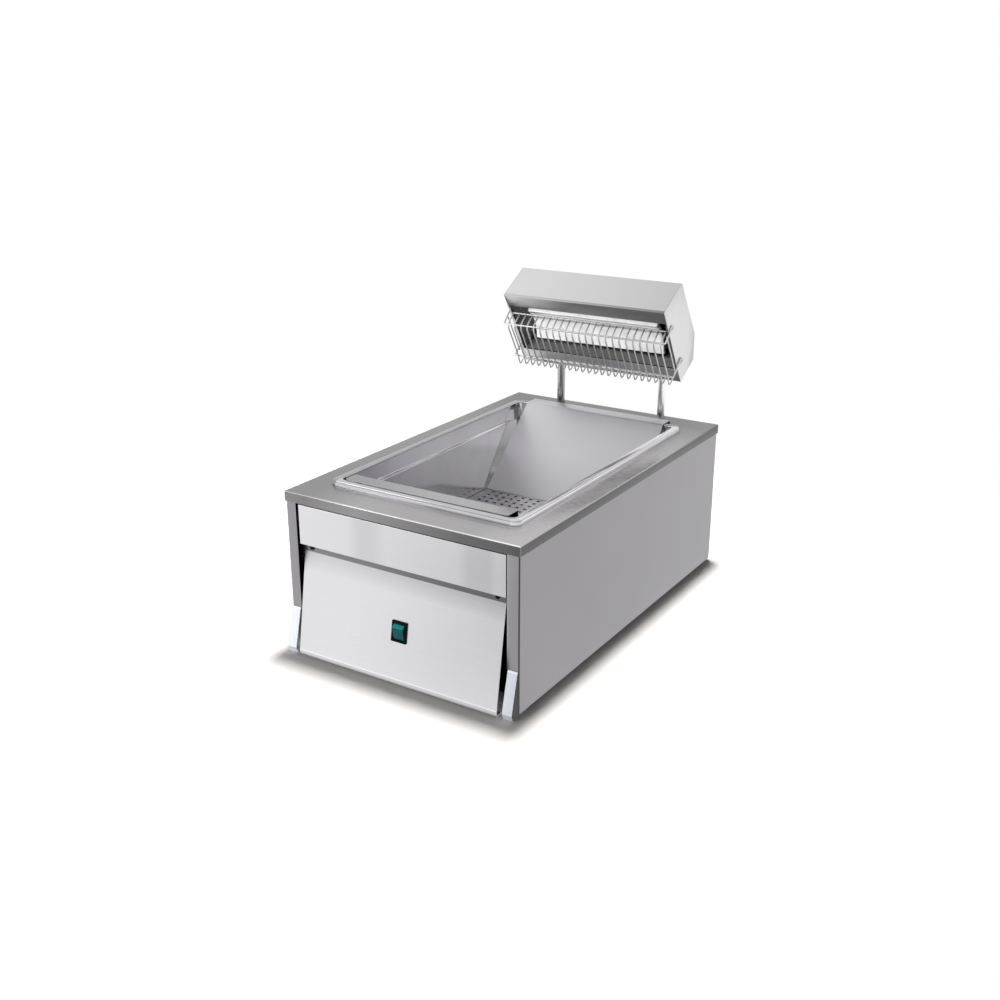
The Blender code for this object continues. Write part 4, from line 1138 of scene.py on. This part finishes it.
insert = {
    "floorTop": 131.0,
    "floorHalf": 140.2,
    "wallY": 92.0,
    "flangeY": 66.0,
    "flangeHalf": 140.5,
    "flangeTop": 259.3,
    "floorFront": 94.0,
    "floorBack": 546.0,
    "skirt": 11.5,
    "pitch": 15.0,
    "columns": 17,
    "rows": 29,
    "firstRow": 107.0,
    "holeHalf": 2.797,    # half the width of a square drain hole
    "sheet": 1.0,
    "bend": 1.6,
    "flangeCorner": 5.0,
    "footX": 70.0,
    "footHalf": 12.0,
    "footInset": (1.4, 0.4),    # of a foot's front and back from the rear edge of the floor
    "footBottom": 108.3,
    "footRise": 4.0,            # past the lower edge of the skirt
    "footBend": 0.3,
    "sameWithin": 1e-6,   # metres within which two places count as one
}


def edgesAt(shape, **places):  # the open edges that lie at these coordinates
    return [edge for edge in shape.edges if edge.is_boundary
            and all(abs(getattr(vert.co, axis) - place) < insert["sameWithin"]
                    for vert in edge.verts for axis, place in places.items())]


def pullEdges(shape, edges, widen=1.0, **places):  # new sheet, drawn from the edges to these coordinates
    for vert in newVerts(bmesh.ops.extrude_edge_only(shape, edges=edges)):
        vert.co.x *= widen
        for axis, place in places.items():
            setattr(vert.co, axis, place)


def drainHoles(shape):  # a grid whose cells each get a square hole
    pitch, columns, rows = insert["pitch"], insert["columns"], insert["rows"]
    bmesh.ops.create_grid(shape, x_segments=columns, y_segments=rows, size=0.5)
    bmesh.ops.scale(shape, verts=shape.verts, vec=(columns * pitch * mm, rows * pitch * mm, 1))
    bmesh.ops.translate(shape, verts=shape.verts,
                        vec=at(0, insert["firstRow"] + pitch * (rows - 1) / 2, insert["floorTop"]))
    cells = shape.faces[:]
    bmesh.ops.inset_individual(shape, faces=cells, thickness=(pitch / 2 - insert["holeHalf"]) * mm,
                               use_even_offset=True)
    bmesh.ops.delete(shape, geom=cells, context="FACES_ONLY")


def makeInsert():
    shape = bmesh.new()
    drainHoles(shape)
    pitch, top = insert["pitch"], insert["floorTop"] * mm
    half, wide = insert["columns"] * pitch / 2 * mm, insert["floorHalf"] * mm
    gridFront, gridBack, front, back, wall, flange = [at(0, y, 0).y for y in (
        insert["firstRow"] - pitch / 2, insert["firstRow"] + pitch * (insert["rows"] - 0.5),
        insert["floorFront"], insert["floorBack"], insert["wallY"], insert["flangeY"])]
    for side in (-1, 1):
        pullEdges(shape, edgesAt(shape, x=side * half), x=side * wide)
    pullEdges(shape, edgesAt(shape, y=gridBack), y=back)
    pullEdges(shape, edgesAt(shape, y=gridFront), y=front)
    outer = edgesAt(shape, x=-wide) + edgesAt(shape, x=wide) + edgesAt(shape, y=back)
    pullEdges(shape, outer, z=top - insert["skirt"] * mm)
    pullEdges(shape, edgesAt(shape, y=front, z=top), insert["flangeHalf"] / insert["floorHalf"],
              y=wall, z=insert["flangeTop"] * mm)
    pullEdges(shape, edgesAt(shape, z=insert["flangeTop"] * mm), y=flange)
    lip = {vert for edge in edgesAt(shape, y=flange) for vert in edge.verts}
    ends = sorted(lip, key=lambda vert: vert.co.x)
    bmesh.ops.bevel(shape, geom=[ends[0], ends[-1]], offset=insert["flangeCorner"] * mm, segments=8,
                    profile=0.5, affect="VERTICES", material=-1)
    shape.normal_update()
    bendEdges(shape, insert["bend"], 4, 45.0)
    made = makePiece("perforatedInsert", shape, "insertSteel", "perforated_insert", "insert", 40.0)
    sheet = made.modifiers.new("sheet", "SOLIDIFY")
    sheet.thickness = insert["sheet"] * mm
    sheet.offset = -1.0
    settle(made, 40.0)
    for number, x in enumerate((-insert["footX"], insert["footX"]), 1):
        foot = boxShape((x - insert["footHalf"], x + insert["footHalf"]),
                        [insert["floorBack"] - inset for inset in insert["footInset"]],
                        (insert["footBottom"], insert["floorTop"] - insert["skirt"] + insert["footRise"]))
        bendEdges(foot, insert["footBend"], 2)
        makePiece(f"insertFoot{number}", foot, "insertSteel", "perforated_insert", "insert")


ramp = {
    "outline": ((444.5, 132.2), (571.0, 259.5), (599.5, 259.5), (599.5, 252.0)),
    "half": 138.0,
    "narrowing": 5.5,      # of each side from the foot to the rear rim
    "bend": 3.0,
    "sheet": 1.2,
}


def makeRamp():
    shape = stripShape(at, ramp["outline"], ramp["half"], ramp["bend"], 8)
    foot, head = ramp["outline"][0][1] * mm, ramp["outline"][1][1] * mm
    rim = at(0, panRim["back"], 0).y
    for vert in shape.verts:
        risen = min(1.0, (vert.co.z - foot) / (head - foot)) if vert.co.y < rim else 1.0
        vert.co.x *= 1 - ramp["narrowing"] / ramp["half"] * max(0.0, risen)
    giveSheet(makePiece("rampPlate", shape, "rampSteel", "ramp_plate", "ramp"), ramp["sheet"])


# The remaining nodes keep their own shape

nodesByLook = {
    "sideSteel": ("rear_panel",),
    "shadowDarkSteel": ("base_tray", "front_cross_rail", "rear_cross_rail"),
    "blackPlastic": ("cable_gland", "gland_nut"),
    "blackRubber": ("left_rear_foot", "right_rear_foot"),
    "screwSteel": ("left_tube_nut", "right_tube_nut", "emitter_clip"),
    "mirrorAlloy": ("left_tube_clamp", "right_tube_clamp"),
    "terminalPlastic": ("terminal_block",),
    "leadSleeve": ("switch_lead", "lamp_lead"),
}


def dressNodes():
    for look, names in nodesByLook.items():
        for name in names:
            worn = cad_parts[name].data.materials
            worn.clear()
            worn.append(looks[look])
    print("nodes that keep their shape:", sum(len(names) for names in nodesByLook.values()))


makeLooks()
makeStudio()
makeDeck()
makeSidePanels()
makeFascia()
makeLowerPanel()
makeToeCaps()
print("cabinet made")
makeScrews()
makeSwitch()
print("screws and switch made")
makeTubes()
makeHood()
makeReflector()
makeEmitter()
makeGuard()
print("lamp made")
makePan()
makeInsert()
makeRamp()
print("pan, insert and ramp made")
dressNodes()
